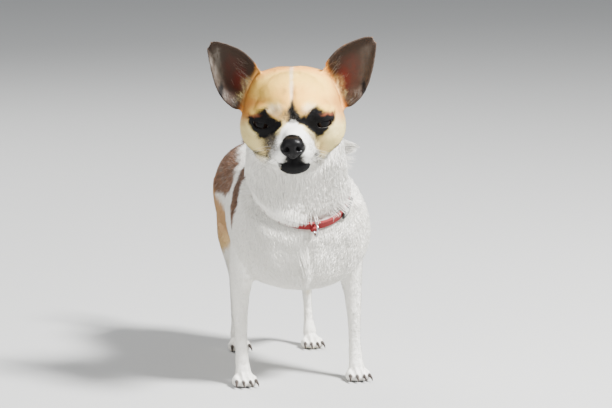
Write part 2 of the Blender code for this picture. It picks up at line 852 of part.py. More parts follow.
def leg_region(name, end, side_name, grow):
    """The outline inside which flesh belongs to one leg, rounded off over its muscle."""
    side = SIDES[side_name]
    if end == "front":
        middle = side * 54
        stations = [
            (middle, -8, -6, 22, 32),
            (middle, -4, 30, 22, 30),
            (middle, 4, 70, 23, 27),
            (middle, 8, 100, 25, 29),
            (middle, 10, 124, 24, 27),
            (middle, 11, 143, 17, 19),
            (middle, 11, 153, 7, 8),
        ]
    else:
        high, low = HIP_X[side_name] + side * 9, HIND_FOOT_X[side_name] + side * 7
        y = HIND_FOOT_Y[side_name]
        stations = [
            (low, y - 4, -6, 27, 40),
            (low, y, 40, 27, 38),
            (0.4 * high + 0.6 * low, 130, 70, 27, 38),
            (high, 115, 100, 26.5, 42),
            (high, 112, 128, 26, 42),
            (high, 111, 148, 19, 31),
            (high, 111, 163, 8, 13),
        ]
    return limb(name, stations, grow, sides=16, power=2.6, steps=2)


def claws(paw_name, x, y, size):
    made = []
    for number, spread in enumerate(TOE_SPREAD, 1):
        reach = 15.5 - 0.55 * abs(spread)
        across, front = x + spread * size, y - reach * size
        turn = 0.028 * spread
        rows = [
            (across + turn * 3, front - 3.6 * size, 5.4, 1.5, 1.6),
            (across + turn * 6, front - 6.6 * size, 5.0, 1.25, 1.5),
            (across + turn * 9, front - 9.2 * size, 3.4, 0.85, 1.0),
            (across + turn * 10, front - 10.4 * size, 1.5, 0.3, 0.35),
        ]
        claw = limb(f"{paw_name.replace('paw', 'claw')}_{number}", rows, sides=6, steps=1)
        claw.data.materials.append(material("claw"))
        made.append(claw)
    return made


def part_legs(body):
    """Takes the four legs out of the body, then each paw off its leg and room for claws."""
    nodes = []
    for paw_name, x, y, size in paw_places():
        _, end, side_name = paw_name.split("_")
        region = leg_region("region", end, side_name, 0)
        leg = copy_of(body, f"leg_{end}_{side_name}")
        combine(leg, region, "INTERSECT")
        leg = largest(leg)
        wider = leg_region("region", end, side_name, GAP)
        combine(body, wider, "DIFFERENCE")
        remove(region, wider)
        level = WRIST_CUT if end == "front" else HOCK_CUT
        cut = box("cut", (x, y + 4, level), (60, 90, GAP))
        names = (leg.name, paw_name)
        leg, paw = split(leg, cut, names, ((x, y, 90), (x, y, 5)))
        for claw in claws(paw_name, x, y, size):
            carve(paw, claw)
            nodes.append(claw)
        nodes += [leg, largest(paw)]
    return nodes


def centre_on_floor(nodes):
    """Moves the model so that the origin is under the middle of its box."""
    points = np.vstack([coordinates(node.data) for node in nodes])
    middle = (points.min(0) + points.max(0)) / 2
    middle[2] = 0
    for node in nodes:
        set_coordinates(node.data, coordinates(node.data) - middle)
    print("moved by", (-middle).round(3).tolist(), "box", (points.max(0) - points.min(0)).round(2))


def main():
    clear_scene()
    body = fused_body()
    set_coordinates(body.data, pinch_for_collar(sculpt(coordinates(body.data))))
    lighten(body)
    floor = box("floor", (0, 50, -20), (400, 500, 40))
    combine(body, floor, "DIFFERENCE")
    remove(floor)
    body = largest(body)
    body.data.materials.append(material("white_fur"))

    nose = nose_form()
    nodes = [nose]
    for side_name, side in SIDES.items():
        ear = ear_form(side)
        combine(body, ear, "UNION")
        remove(ear)
        ball = eye_ball(side_name)
        opening = eye_opening(side)
        carve(body, ball)
        combine(body, opening, "DIFFERENCE")
        remove(opening)
        nodes.append(ball)
    carve(body, nose)

    pieces = collar_pieces()
    for piece in pieces:
        carve(body, piece)
    nodes += pieces
    nodes += part_legs(body)

    collar_cut = box("cut", (0, 0, 0), (136, 138, GAP), place=collar_matrix())
    torso, upper = split(body, collar_cut, ("torso", "neck"), ((0, 60, 140), (-12, -35, 215)))
    tail_cut = box("cut", (RUMP_X + 1, 157, 190), (34, 30, GAP), Matrix.Rotation(math.radians(-32), 4, "X"))
    torso, tail = split(torso, tail_cut, ("torso", "tail"), ((0, 50, 140), (5, 150, 225)))
    nape_turn = Matrix.Rotation(math.radians(33.5), 4, "X")
    nape_cut = box("cut", (0, 8, -24), (116, 112, GAP), nape_turn, head_matrix())
    neck, head = split(upper, nape_cut, ("neck", "head"), ((-8, -20, 185), (-20, -55, 236)))
    mouth = [
        (-80, MOUTH_Z + 1.5),
        (-56, MOUTH_Z),
        (MOUTH_CORNER_Y - 3, MOUTH_Z - 1.2),
        (MOUTH_CORNER_Y, MOUTH_Z - 4),
        (MOUTH_CORNER_Y, MOUTH_Z - 22),
    ]
    lips = sheet("cut", mouth, 70, head_matrix())
    head, jaw = split(head, lips, ("head", "lower_jaw"), ((-20, -50, 240), (-31, -90, 200)))
    nodes += [torso, tail, neck, jaw]
    for side_name, side in SIDES.items():
        turn = Matrix.Rotation(side * math.radians(64.1), 4, "Y")
        cut = box("cut", (side * 35.8, 6, 17.6), (58, 66, GAP), turn, head_matrix())
        names = ("head", f"ear_{side_name}")
        tip = head_matrix() @ (Vector((side * 55, 5, 32)) * MM) / MM
        head, ear = split(head, cut, names, ((-20, -50, 236), tuple(tip)))
        ear.data.materials.clear()
        ear.data.materials.append(material("ear_skin"))
        nodes.append(ear)
    nodes.append(head)
    centre_on_floor(nodes)


main()
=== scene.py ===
# Standing chihuahua: skin, coat, eyes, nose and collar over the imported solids.
import math

import bmesh
import bpy
import numpy as np
from mathutils import Matrix, Vector
from mathutils.bvhtree import BVHTree


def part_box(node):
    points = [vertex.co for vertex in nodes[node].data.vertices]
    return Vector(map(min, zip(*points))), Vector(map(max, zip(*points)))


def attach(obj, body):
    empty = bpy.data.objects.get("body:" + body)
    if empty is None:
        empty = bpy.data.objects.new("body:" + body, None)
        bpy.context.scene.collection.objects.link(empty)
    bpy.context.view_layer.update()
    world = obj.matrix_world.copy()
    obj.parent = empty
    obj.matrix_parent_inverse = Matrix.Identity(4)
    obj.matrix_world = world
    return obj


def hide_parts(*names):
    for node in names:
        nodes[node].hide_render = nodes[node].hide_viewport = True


for name in ("Cube", "Light", "Camera"):
    spare = bpy.data.objects.get(name)
    if spare:
        bpy.data.objects.remove(spare)

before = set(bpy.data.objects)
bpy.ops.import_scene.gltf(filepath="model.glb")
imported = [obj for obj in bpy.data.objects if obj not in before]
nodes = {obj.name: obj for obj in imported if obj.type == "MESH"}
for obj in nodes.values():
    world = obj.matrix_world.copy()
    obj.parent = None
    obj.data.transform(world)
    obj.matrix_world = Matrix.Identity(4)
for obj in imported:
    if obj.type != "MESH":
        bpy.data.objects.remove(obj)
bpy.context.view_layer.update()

# Places that the pieces share, in the source's own metres.

view = {"azimuth": -15, "elevation": 9, "distance": 2.27, "lens": 160, "target": (0.0043, 0, 0.150)}

headPose = {"place": (-0.019, -0.045, 0.236), "yaw": -15, "pitch": 8, "roll": -1.2}
eyePose = {"x": 23.4, "y": -24.5, "z": -3, "turn": 16, "radius": 0.009}
headTurn = (
    Matrix.Rotation(math.radians(headPose["yaw"]), 4, "Z")
    @ Matrix.Rotation(math.radians(headPose["pitch"]), 4, "X")
    @ Matrix.Rotation(math.radians(headPose["roll"]), 4, "Y")
)


def boxMiddle(name):
    low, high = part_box(name)
    return (Vector(low) + Vector(high)) / 2


betweenEyes = (boxMiddle("eye_left") + boxMiddle("eye_right")) / 2
headPlace = betweenEyes - headTurn @ Vector((0, eyePose["y"], eyePose["z"])) / 1000
shift = headPlace - Vector(headPose["place"])  # from the source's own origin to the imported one
headFrame = Matrix.Translation(headPlace) @ headTurn
collarPose = {
    "centre": (-0.004, -0.014, 0.166), "lean": 36.5,  # metres and degrees
    "halfWidth": 40, "halfDepth": 44, "band": 7, "thick": 2.4,  # millimetres
}
collarFrame = (
    Matrix.Translation(Vector(collarPose["centre"]) + shift)
    @ Matrix.Rotation(math.radians(collarPose["lean"]), 4, "X")
)


def eyeFrame(side):
    spot = Vector((side * eyePose["x"], eyePose["y"], eyePose["z"])) / 1000
    turn = Matrix.Rotation(math.radians(side * eyePose["turn"]), 4, "Z") @ Matrix.Rotation(math.radians(2), 4, "X")
    return headFrame @ Matrix.Translation(spot) @ turn


def inFrame(points, place):  # world points in a frame's own millimetres
    back = np.array(place.inverted())
    return (points @ back[:3, :3].T + back[:3, 3]) * 1000


def toWorld(points, place):  # a frame's own millimetres in the world
    m = np.array(place)
    return points / 1000 @ m[:3, :3].T + m[:3, 3]


def collarTurn(local):  # how far round the collar's oval a place lies, in radians, from the animal's left
    return np.arctan2(local[:, 1] / collarPose["halfDepth"], local[:, 0] / collarPose["halfWidth"])


def unit(v):
    return v / np.maximum(np.linalg.norm(v, axis=-1, keepdims=True), 1e-9)


def soft(x, low, high):  # 0 below low, 1 above high, smooth between
    t = np.clip((x - low) / (high - low), 0, 1)
    return t * t * (3 - 2 * t)


def cloud(points, size, seed):  # smooth random values from 0 to 1
    grid = np.random.default_rng(seed).random((32, 32, 32))
    q = points / size + 1000
    cell = np.floor(q).astype(int)
    f = q - cell
    f = f * f * (3 - 2 * f)
    total = np.zeros(len(points))
    for dx in (0, 1):
        for dy in (0, 1):
            for dz in (0, 1):
                weight = (
                    (f[:, 0] if dx else 1 - f[:, 0])
                    * (f[:, 1] if dy else 1 - f[:, 1])
                    * (f[:, 2] if dz else 1 - f[:, 2])
                )
                total += weight * grid[(cell[:, 0] + dx) % 32, (cell[:, 1] + dy) % 32, (cell[:, 2] + dz) % 32]
    return total


def meshPoints(mesh):
    points = np.empty(len(mesh.vertices) * 3)
    mesh.vertices.foreach_get("co", points)
    return points.reshape(-1, 3)


def setPoints(mesh, points):
    mesh.vertices.foreach_set("co", np.ascontiguousarray(points, dtype=np.float64).ravel())
    mesh.update()


def meshNormals(mesh):
    normals = np.empty(len(mesh.vertices) * 3, dtype=np.float32)
    mesh.vertex_normals.foreach_get("vector", normals)
    return normals.reshape(-1, 3).astype(float)


def meshEdges(mesh):
    edges = np.empty(len(mesh.edges) * 2, dtype=np.int32)
    mesh.edges.foreach_get("vertices", edges)
    return edges.reshape(-1, 2)


def triangles(mesh):
    mesh.calc_loop_triangles()
    corners = np.empty(len(mesh.loop_triangles) * 3, dtype=np.int32)
    mesh.loop_triangles.foreach_get("vertices", corners)
    return corners.reshape(-1, 3)


def meshFrom(name, points, faces, width=3):
    mesh = bpy.data.meshes.new(name)
    count = len(faces)
    mesh.vertices.add(len(points))
    mesh.vertices.foreach_set("co", np.ascontiguousarray(points, dtype=np.float64).ravel())
    mesh.loops.add(count * width)
    mesh.loops.foreach_set("vertex_index", np.ascontiguousarray(faces, dtype=np.int32).ravel())
    mesh.polygons.add(count)
    mesh.polygons.foreach_set("loop_start", np.arange(count, dtype=np.int32) * width)
    mesh.polygons.foreach_set("use_smooth", np.ones(count, dtype=bool))
    mesh.update(calc_edges=True)
    return mesh


def tubeFaces(count, around, closed):  # triangles between rings of points
    faces = []
    for i in range(count if closed else count - 1):
        a, b = i * around, (i + 1) % count * around
        for j in range(around):
            m = (j + 1) % around
            faces += [(a + j, a + m, b + m), (a + j, b + m, b + j)]
    return faces


def treeOf(points, faces):  # to look up the nearest place on a surface
    return BVHTree.FromPolygons([Vector(p) for p in points], [list(f) for f in faces])


def inkOn(mesh, label, colours):  # a colour for each point, under a name that the material reads
    layer = mesh.color_attributes.new(label, "FLOAT_COLOR", "POINT")
    layer.data.foreach_set("color", np.concatenate([colours, np.ones((len(colours), 1))], axis=1).ravel())


def smoothed(mesh):
    mesh.polygons.foreach_set("use_smooth", np.ones(len(mesh.polygons), dtype=bool))
    mesh.update()


def outward(mesh):  # faces turned to point out
    shape = bmesh.new()
    shape.from_mesh(mesh)
    bmesh.ops.recalc_face_normals(shape, faces=shape.faces)
    shape.to_mesh(mesh)
    shape.free()


def objectOf(name, mesh):
    obj = bpy.data.objects.new(name, mesh)
    bpy.context.scene.collection.objects.link(obj)
    return obj


def baked(obj):  # the object's modifiers, made part of its mesh
    graph = bpy.context.evaluated_depsgraph_get()
    mesh = bpy.data.meshes.new_from_object(obj.evaluated_get(graph))
    obj.modifiers.clear()
    old = obj.data
    obj.data = mesh
    bpy.data.meshes.remove(old)
    return obj


def voxelled(obj, size):  # one closed surface of even faces
    remesh = obj.modifiers.new("remesh", "REMESH")
    remesh.mode = "VOXEL"
    remesh.voxel_size = size
    return baked(obj)


def nodeCopy(name, swell=0.0):  # a CAD node's mesh, merged, and swollen a little
    shape = bmesh.new()
    shape.from_mesh(nodes[name].data)
    bmesh.ops.remove_doubles(shape, verts=shape.verts, dist=1e-6)
    bmesh.ops.recalc_face_normals(shape, faces=shape.faces)
    shape.normal_update()
    for v in shape.verts:
        v.co += v.normal * swell
    mesh = bpy.data.meshes.new(name + "_copy")
    shape.to_mesh(mesh)
    shape.free()
    return mesh


def eased(values, edges, count, rounds, rate=0.5, keep=None):  # Laplacian smoothing of points or weights
    degree = np.bincount(edges.ravel(), minlength=count).astype(float)
    degree[degree == 0] = 1
    hold = rate if keep is None else (rate * (1 - keep))[:, None]
    for _ in range(rounds):
        total = np.zeros_like(values)
        for axis in range(values.shape[1]):
            total[:, axis] = np.bincount(edges[:, 0], values[edges[:, 1], axis], count)
            total[:, axis] += np.bincount(edges[:, 1], values[edges[:, 0], axis], count)
        values = values + hold * (total / degree[:, None] - values)
    return values


def colour(r, g, b):  # screen values 0-255 to linear
    c = np.array([r, g, b]) / 255
    return np.where(c <= 0.04045, c / 12.92, ((c + 0.055) / 1.055) ** 2.4)


flesh = [
    "head", "lower_jaw", "ear_left", "ear_right", "neck", "torso", "tail",
    "leg_front_left", "leg_front_right", "leg_hind_left", "leg_hind_right",
    "paw_front_left", "paw_front_right", "paw_hind_left", "paw_hind_right",
]
regions = ["head", "ear", "neck", "torso", "tail", "leg", "paw", "jaw"]
regionOf = [
    "head", "jaw", "ear", "ear", "neck", "torso", "tail",
    "leg", "leg", "leg", "leg", "paw", "paw", "paw", "paw",
]

skinLook = {
    "voxel": 0.00072,  # metres
    "tunedVoxel": 0.00072,  # the size that the rounds were set at
    "swell": 0.00028,
    "lidGap": 0.00035, "floorGap": 0.0002,  # the least distance from the eyeballs and from the floor
    "depth": {"head": 0.9, "ear": 0.15, "neck": 2.9, "torso": 2.3, "tail": 3.0, "leg": 1.1, "paw": 0.6, "jaw": 0.7},
    "rounds": {"head": 8, "ear": 8, "neck": 60, "torso": 90, "tail": 20, "leg": 22, "paw": 3, "jaw": 5},
    "triangles": {"face": 90000, "rest": 95000},
}


def fleshSurface():
    parts = [objectOf(n + "_copy", nodeCopy(n, skinLook["swell"])) for n in flesh]
    whole = bmesh.new()
    for part in parts:
        whole.from_mesh(part.data)
    mesh = bpy.data.meshes.new("skin")
    whole.to_mesh(mesh)
    whole.free()
    for part in parts:
        bpy.data.objects.remove(part)
    return voxelled(objectOf("skin", mesh), skinLook["voxel"])


def regionTree():
    points, faces, owner = [], [], []
    for index, name in enumerate(flesh):
        mesh = nodes[name].data
        base = len(points)
        points += [v.co.copy() for v in mesh.vertices]
        for face in mesh.polygons:
            faces.append([base + i for i in face.vertices])
            owner.append(regions.index(regionOf[index]))
    return BVHTree.FromPolygons(points, faces), np.array(owner)


def regionWeights(points, edges, rounds, broad):  # head and ears blend narrowly, the parts of the body broadly
    tree, owner = regionTree()
    nearest = np.array([tree.find_nearest(Vector(p))[2] for p in points])
    weights = eased(np.eye(len(regions))[owner[nearest]], edges, len(points), rounds)
    body = [regions.index(r) for r in ("neck", "torso", "tail", "leg", "paw")]
    wide = eased(weights[:, body], edges, len(points), broad, 0.9)
    wide = wide / np.maximum(wide.sum(axis=1, keepdims=True), 1e-6)
    weights[:, body] = wide * weights[:, body].sum(axis=1, keepdims=True)
    return weights


def blend(weights, table):
    return weights @ np.array([table[r] for r in regions], dtype=float)


def dab(points, place, centre, radii, move):  # a bell-shaped push in a frame's own millimetres
    local = inFrame(points, place)
    away = np.linalg.norm((local - np.array(centre)) / np.array(radii), axis=1)
    bell = np.clip(1 - away**2, 0, 1) ** 2
    m = np.array(place)[:3, :3]
    return points + (bell[:, None] * np.array(move) / 1000) @ m.T


def lineGroove(points, normals, place, line, width, depth):  # presses a narrow channel along a path in a frame
    local = inFrame(points, place)
    line = np.array(line, dtype=float)
    best = np.full(len(points), 1e9)
    for a, b in zip(line[:-1], line[1:]):
        along = b - a
        t = np.clip(((local - a) @ along) / (along @ along), 0, 1)
        best = np.minimum(best, np.linalg.norm(local - a - t[:, None] * along, axis=1))
    bell = np.exp(-((best / width) ** 2))
    return points - normals * (bell * depth / 1000)[:, None]


def carveFace(points, normals):
    for side in (-1, 1):
        points = dab(points, headFrame, (side * 9, -40, 9), (8, 9, 6), (0, -1.2, 0.4))  # brow muscle
        points = dab(points, headFrame, (side * 28, -24, -17), (12, 12, 8), (side * 0.8, -0.8, 0))  # cheek
        points = lineGroove(
            points, normals, headFrame,
            [(0.2, -58, -24), (side * 3, -57, -29), (side * 9, -53, -31.5), (side * 15, -43, -32.5),
             (side * 19, -32, -33)],
            1.0, 1.2,
        )
        points = dab(points, headFrame, (side * 26, 0, 27), (14, 22, 13), (side * 1.4, 0, 1.3))  # crown
        points = dab(points, eyeFrame(side), (0, -8.5, 5.2), (10, 7, 6), (0, -0.3, -2.3))  # upper lid
        points = dab(points, eyeFrame(side), (0, -9, -6), (9, 6, 4), (0, -0.5, 0.9))  # lower lid
        points = lineGroove(
            points, normals, headFrame, [(side * 57, 2, 9), (side * 57.5, 2, 16), (side * 59.5, 2, 22)], 1.3, 0.9,
        )  # pocket on the ear's outer edge
    points = dab(points, Matrix.Translation(shift), (50, -10, 128), (18, 32, 36), (2.6, -0.4, 0))  # left shoulder
    points = lineGroove(points, normals, headFrame, [(0, -64, -21), (0, -60, -28)], 0.9, 0.9)  # under the nose
    points = lineGroove(points, normals, headFrame, [(-0.4, -37, 4), (-0.4, -38.5, 13), (0.3, -37, 22)], 1.8, 0.7)
    return points


def clearEyes(points):  # the lids lie on the balls and never dip below them
    for side in (-1, 1):
        place = eyeFrame(side)
        centre = np.array(place.translation)
        out = points - centre
        far = np.linalg.norm(out, axis=1)
        least = eyePose["radius"] + skinLook["lidGap"]
        near = far < least
        points[near] = centre + out[near] * (least / far[near])[:, None]
    return points


def nearEyes(points, inner, outer):  # 1 close to an eye, 0 away from it
    close = np.zeros(len(points))
    for side in (-1, 1):
        far = np.linalg.norm(inFrame(points, eyeFrame(side)), axis=1)
        close = np.maximum(close, 1 - soft(far, inner, outer))
    return close


def fitEars(points, weights):  # each ear's blade to its outline in the photo
    local = inFrame(points, headFrame)
    base = np.stack([np.sign(local[:, 0]) * 42, np.full(len(local), 4.0), np.full(len(local), 12.0)], axis=1)
    out = local - base
    share = weights[:, 1] * soft(np.linalg.norm(out, axis=1), 12, 34) * np.where(local[:, 0] > 0, -0.03, 0.006)
    return toWorld(local - out * share[:, None], headFrame)


def raiseRuff(points, normals, weights):  # the coat swells beside the collar, so that the collar lies sunk in it
    local = inFrame(points, collarFrame)
    up = np.abs(local[:, 2])
    turn = np.degrees(collarTurn(local))
    hidden = np.interp(turn, [-180, -115, -90, -60, 30, 90, 180], [1.0, 0.9, 0.5, 0.4, 0.6, 1.0, 1.0])
    near = (np.linalg.norm(local[:, :2], axis=1) < 62) * (weights[:, 2] + weights[:, 3])
    swell = soft(up, 3.6, 6.0) * (1 - soft(up, 6, 21)) * hidden * near * np.where(local[:, 2] > 0, 3.1, 2.9)
    return points + normals * (swell / 1000)[:, None]


def makeSkin():
    skin = fleshSurface()
    points = meshPoints(skin.data)
    edges = meshEdges(skin.data)
    count = len(points)
    print("skin surface", count, "points")
    weights = regionWeights(points, edges, 6, 60)
    fine = skinLook["voxel"] / skinLook["tunedVoxel"]
    rounds = blend(weights, skinLook["rounds"]) / fine**2
    lids = nearEyes(points, 11, 15)
    seam = eased(weights[:, 1:2], edges, count, 36)[:, 0]
    rounds = (rounds + 280 * seam * (1 - seam) / fine**2) * (1 - lids) + 3 * lids
    steps = int(rounds.max())
    done = 0
    for stop in (3, 6, 10, 16, 30, 60, steps):
        stop = min(stop, steps)
        if stop <= done:
            continue
        keep = 1 - np.clip((rounds - done) / (stop - done), 0, 1)
        points = eased(points, edges, count, stop - done, 0.6, keep)
        done = stop
    setPoints(skin.data, points)
    normals = unit(eased(meshNormals(skin.data), edges, count, 8))
    depth = blend(weights, skinLook["depth"])
    muzzle = np.clip(1 - np.linalg.norm((inFrame(points, headFrame) - [0, -52, -22]) / [22, 20, 18], axis=1) ** 2, 0, 1)
    depth = (depth * (1 - lids) * (1 - 0.55 * muzzle)) / 1000
    depth = eased(depth[:, None], edges, count, 10)[:, 0]
    points = fitEars(points - normals * depth[:, None], weights)
    points = raiseRuff(points, normals, weights)
    setPoints(skin.data, points)
    points = carveFace(points, meshNormals(skin.data))
    points = clearEyes(points)
    points[:, 2] = np.maximum(points[:, 2], skinLook["floorGap"])
    setPoints(skin.data, points)
    thin(skin)
    smoothed(skin.data)
    return skin


def thin(skin):  # fewer triangles, set closest on the head
    for label, head in (("rest", False), ("face", True)):
        inside = nearHead(meshPoints(skin.data)) == head
        corners = triangles(skin.data)
        within = int(inside[corners].all(axis=1).sum())
        total = len(corners)
        group = skin.vertex_groups.new(name=label)
        group.add([int(i) for i in np.flatnonzero(inside)], 1.0, "REPLACE")
        reduce = skin.modifiers.new(label, "DECIMATE")
        reduce.ratio = min(1.0, (total - within + skinLook["triangles"][label]) / total)
        reduce.vertex_group = label
        baked(skin)
        skin.vertex_groups.clear()
        print("skin", label, "reduced to", len(triangles(skin.data)), "triangles")


def nearHead(points):
    local = inFrame(points, headFrame)
    return (np.linalg.norm((local - [0, -10, 0]) / [60, 62, 50], axis=1) < 1) | (local[:, 2] > 20)


skin = makeSkin()
print("skin done:", len(triangles(skin.data)), "triangles")


shades = {
    "white": colour(247, 244, 236),
    "cream": colour(232, 212, 146),
    "tan": colour(228, 178, 106),
    "skull": colour(250, 180, 84),
    "skullLight": colour(255, 213, 104),
    "orange": colour(212, 142, 66),
    "fawn": colour(196, 144, 74),
    "sable": colour(134, 102, 82),
    "brown": colour(84, 62, 50),
    "black": colour(10, 9, 10),
    "grey": colour(144, 137, 128),
    "smoke": colour(62, 59, 54),
    "earDark": colour(56, 45, 38),
    "earGrey": colour(112, 104, 92),
    "canal": colour(90, 34, 26),
    "lobe": colour(98, 78, 70),
    "lidPink": colour(152, 88, 58),
}


def ragged(points, size, seed, reach):  # the points moved about, so that edges of markings run ragged
    move = np.stack([cloud(points, size, seed + i) - 0.5 for i in range(3)], axis=1)
    fine = np.stack([cloud(points, size * 0.3, seed + 7 + i) - 0.5 for i in range(3)], axis=1)
    return points + move * 2 * reach + fine * reach * 1.2


def spot(points, centre, radii, edge=0.25):  # 1 inside an ellipsoid, fading across its edge
    away = np.linalg.norm((points - np.array(centre)) / np.array(radii), axis=1)
    return 1 - soft(away, 1 - edge, 1 + edge)


def oval(flat, across, up, wide, high, edge):  # the same in a plane
    return spot(flat, (across, up, 0), (wide, high, 1), edge)


def drawn(flat, outline, edge=1.0):  # 1 inside a drawn outline, fading across its edge
    shape = np.array(outline, dtype=float)
    inside = np.zeros(len(flat), dtype=bool)
    away = np.full(len(flat), 1e9)
    x, y = flat[:, 0], flat[:, 1]
    for (ax, ay), (bx, by) in zip(shape, np.roll(shape, -1, axis=0)):
        along = (bx - ax, by - ay)
        t = np.clip(((x - ax) * along[0] + (y - ay) * along[1]) / (along[0] ** 2 + along[1] ** 2), 0, 1)
        away = np.minimum(away, np.hypot(x - ax - t * along[0], y - ay - t * along[1]))
        crosses = (ay > y) != (by > y)
        if by != ay:
            inside ^= crosses & (x < (bx - ax) * (y - ay) / (by - ay) + ax)
    signed = np.where(inside, away, -away)
    return soft(signed, -edge, edge)


def paint(colours, mask, shade):
    return colours * (1 - mask[:, None]) + shades[shade] * mask[:, None]


def bodyColours(points, normals):
    own = points * 1000 - np.array(shift) * 1000
    p = ragged(own, 7, 11, 2.2)
    x, y, z = p.T
    c = np.tile(shades["white"], (len(p), 1))
    right = 1 - soft(x, -8, 4)
    side = np.stack([y, z, np.zeros(len(y))], axis=1)
    rump = drawn(side, [(114, 204), (110, 189), (106, 183), (84, 177), (60, 169), (50, 161), (51, 155), (64, 152),
                        (84, 150), (104, 149), (124, 146), (146, 140), (160, 140), (170, 204)], 2.0)
    rumpLeft = drawn(side, [(96, 204), (82, 190), (58, 181), (40, 170), (36, 152), (48, 140), (66, 136), (84, 143),
                            (104, 142), (124, 140), (146, 136), (160, 136), (170, 204)], 2.4)
    rump = rump * right + rumpLeft * (1 - right)
    c = paint(c, rump, "sable")
    ribs = drawn(side, [(62, 186), (52, 176), (38, 166), (28, 156), (16, 143), (8, 134), (1, 139), (0, 152),
                        (4, 165), (13, 178), (26, 190), (44, 196), (58, 194)], 1.8) * right
    ribs = ribs * soft(-x, 8, 14)
    ribsLeft = drawn(side, [(60, 176), (64, 160), (52, 138), (36, 128), (26, 134), (22, 152), (26, 168),
                            (40, 178)], 2.2)
    ribsLeft = ribsLeft * soft(x, 22, 30)
    c = paint(c, np.maximum(ribs, ribsLeft), "sable")
    c = paint(c, ribs * soft(z - 0.25 * y, 140, 158) * 0.6, "brown")
    c = paint(c, ribsLeft * 0.35, "brown")
    c = paint(c, np.maximum(ribs, ribsLeft) * (cloud(own, 1.6, 23) > 0.68) * 0.6, "black")
    c = paint(c, rump * (cloud(own, 1.6, 23) > 0.66) * 0.5, "brown")
    c = paint(c, rump * (cloud(own, 2.1, 29) > 0.64) * 0.4, "grey")
    c = paint(c, rump * soft(y, 108, 140) * (1 - soft(z, 168, 184)) * 0.75, "orange")
    far = ragged(own, 13, 211, 3.6)
    side = np.stack([far[:, 1], far[:, 2], np.zeros(len(y))], axis=1)
    thigh = drawn(side, [(86, 144), (71, 135), (62, 125), (72, 113), (88, 105), (100, 98), (118, 90), (136, 88),
                         (150, 96), (166, 120), (176, 160), (150, 162), (124, 152), (102, 147)], 4.0)
    c = paint(c, thigh * 0.85, "fawn")
    c = paint(c, thigh * soft(-z, -122, -90) * 0.5, "cream")
    behind = np.stack([far[:, 0], far[:, 2], np.zeros(len(x))], axis=1)
    nape = drawn(behind, [(-44, 262), (-42, 232), (-36, 216), (-27, 205), (-18, 194), (-11, 190), (-5, 197), (4, 208),
                          (13, 222), (20, 240), (22, 262)], 3.5)
    nape = nape * soft(y, -40, -26) * soft(normals[:, 1], -0.1, 0.35)
    c = paint(c, nape, "tan")
    belly = soft(-normals[:, 2], 0.2, 0.9) * soft(y, 20, 60)
    c = paint(c, belly * 0.35, "cream")
    pads = soft(-normals[:, 2], 0.75, 0.95) * (1 - soft(own[:, 2], 1.5, 3.0))
    return paint(c, pads, "black")


tailPath = np.array([
    (136, 168), (150, 179), (160, 193), (162, 208), (155, 220), (142, 225), (127, 221), (115, 212), (110, 205),
])


def alongTail(points):  # 0 at the root and 1 at the tip
    own = (points - np.array(shift)) * 1000
    best, share = np.full(len(own), 1e9), np.zeros(len(own))
    steps = len(tailPath) - 1
    for i in range(steps):
        a, along = tailPath[i], tailPath[i + 1] - tailPath[i]
        t = np.clip(((own[:, 1:] - a) @ along) / (along @ along), 0, 1)
        away = np.linalg.norm(own[:, 1:] - a - t[:, None] * along, axis=1)
        share = np.where(away < best, (i + t) / steps, share)
        best = np.minimum(best, away)
    return share


def tailColours(points):
    share = alongTail(points) + 0.12 * (cloud(points * 1000, 5, 31) - 0.5)
    c = np.tile(shades["sable"], (len(points), 1))
    c = paint(c, soft(share, 0.2, 0.5) * 0.8, "orange")
    return paint(c, soft(share, 0.6, 0.72), "white")


faceMarks = {  # outlines in millimetres, across the face and up it as the photo's camera sees them
    "rightPatch": [
        (-36.2, -6.3), (-33.0, -4.4), (-30.0, -4.9), (-26.8, -3.2), (-24.4, -1.2), (-21.6, 0.1), (-19.0, -0.2),
        (-17.6, -3.6), (-15.6, -7.4), (-11.0, -9.8), (-8.4, -11.0), (-8.2, -14.0), (-10.2, -17.2), (-12.8, -20.4),
        (-17.6, -22.6), (-22.2, -25.0), (-26.0, -23.6), (-30.2, -20.4), (-33.6, -16.0), (-36.0, -11.0),
    ],
    "leftPatch": [
        (6.2, -8.2), (10.0, -6.6), (12.8, -3.2), (15.4, -0.4), (17.8, 0.6), (20.6, -0.4), (24.2, -3.6), (28.6, -5.0),
        (32.4, -4.2), (34.2, -3.0), (34.4, -7.6), (32.6, -13.4), (29.8, -17.4), (26.4, -20.6), (22.8, -23.4),
        (18.6, -22.6), (15.4, -19.6), (12.4, -16.4), (8.6, -14.6), (5.2, -12.6),
    ],
    "frown": [(-2.8, -11.6), (-3.2, -6.6), (-2.6, -2.4), (-1.2, 3.4), (0.2, 4.6), (1.2, 0.0), (3.4, -4.4), (7.0, -7.6),
              (7.4, -12.2), (2.6, -12.8)],
    "muzzle": [
        (-1.4, -10.0), (-4.6, -12.8), (-8.2, -16.6), (-10.8, -21.0), (-13.6, -25.0), (-16.0, -30.0), (-19.2, -35.0),
        (-20.6, -40.0), (-20.0, -44.0), (-14.0, -48.0), (14.0, -48.0), (18.6, -44.6), (20.6, -40.0), (20.6, -35.0),
        (17.4, -30.0), (14.4, -25.4), (11.6, -20.0), (8.0, -15.6), (4.6, -12.4), (1.6, -10.4),
    ],
    "lip": [(-11.6, -45.2), (-7.6, -44.2), (-3.0, -43.6), (2.0, -43.2), (8.0, -43.8), (13.6, -44.2), (14.8, -46.6),
            (12.0, -50.4), (6.6, -53.6), (0.6, -54.6), (-5.2, -53.4), (-10.0, -49.8)],
    "underNose": [(-7.4, -39.0), (8.4, -39.0), (9.6, -45.4), (-8.8, -45.4)],
}


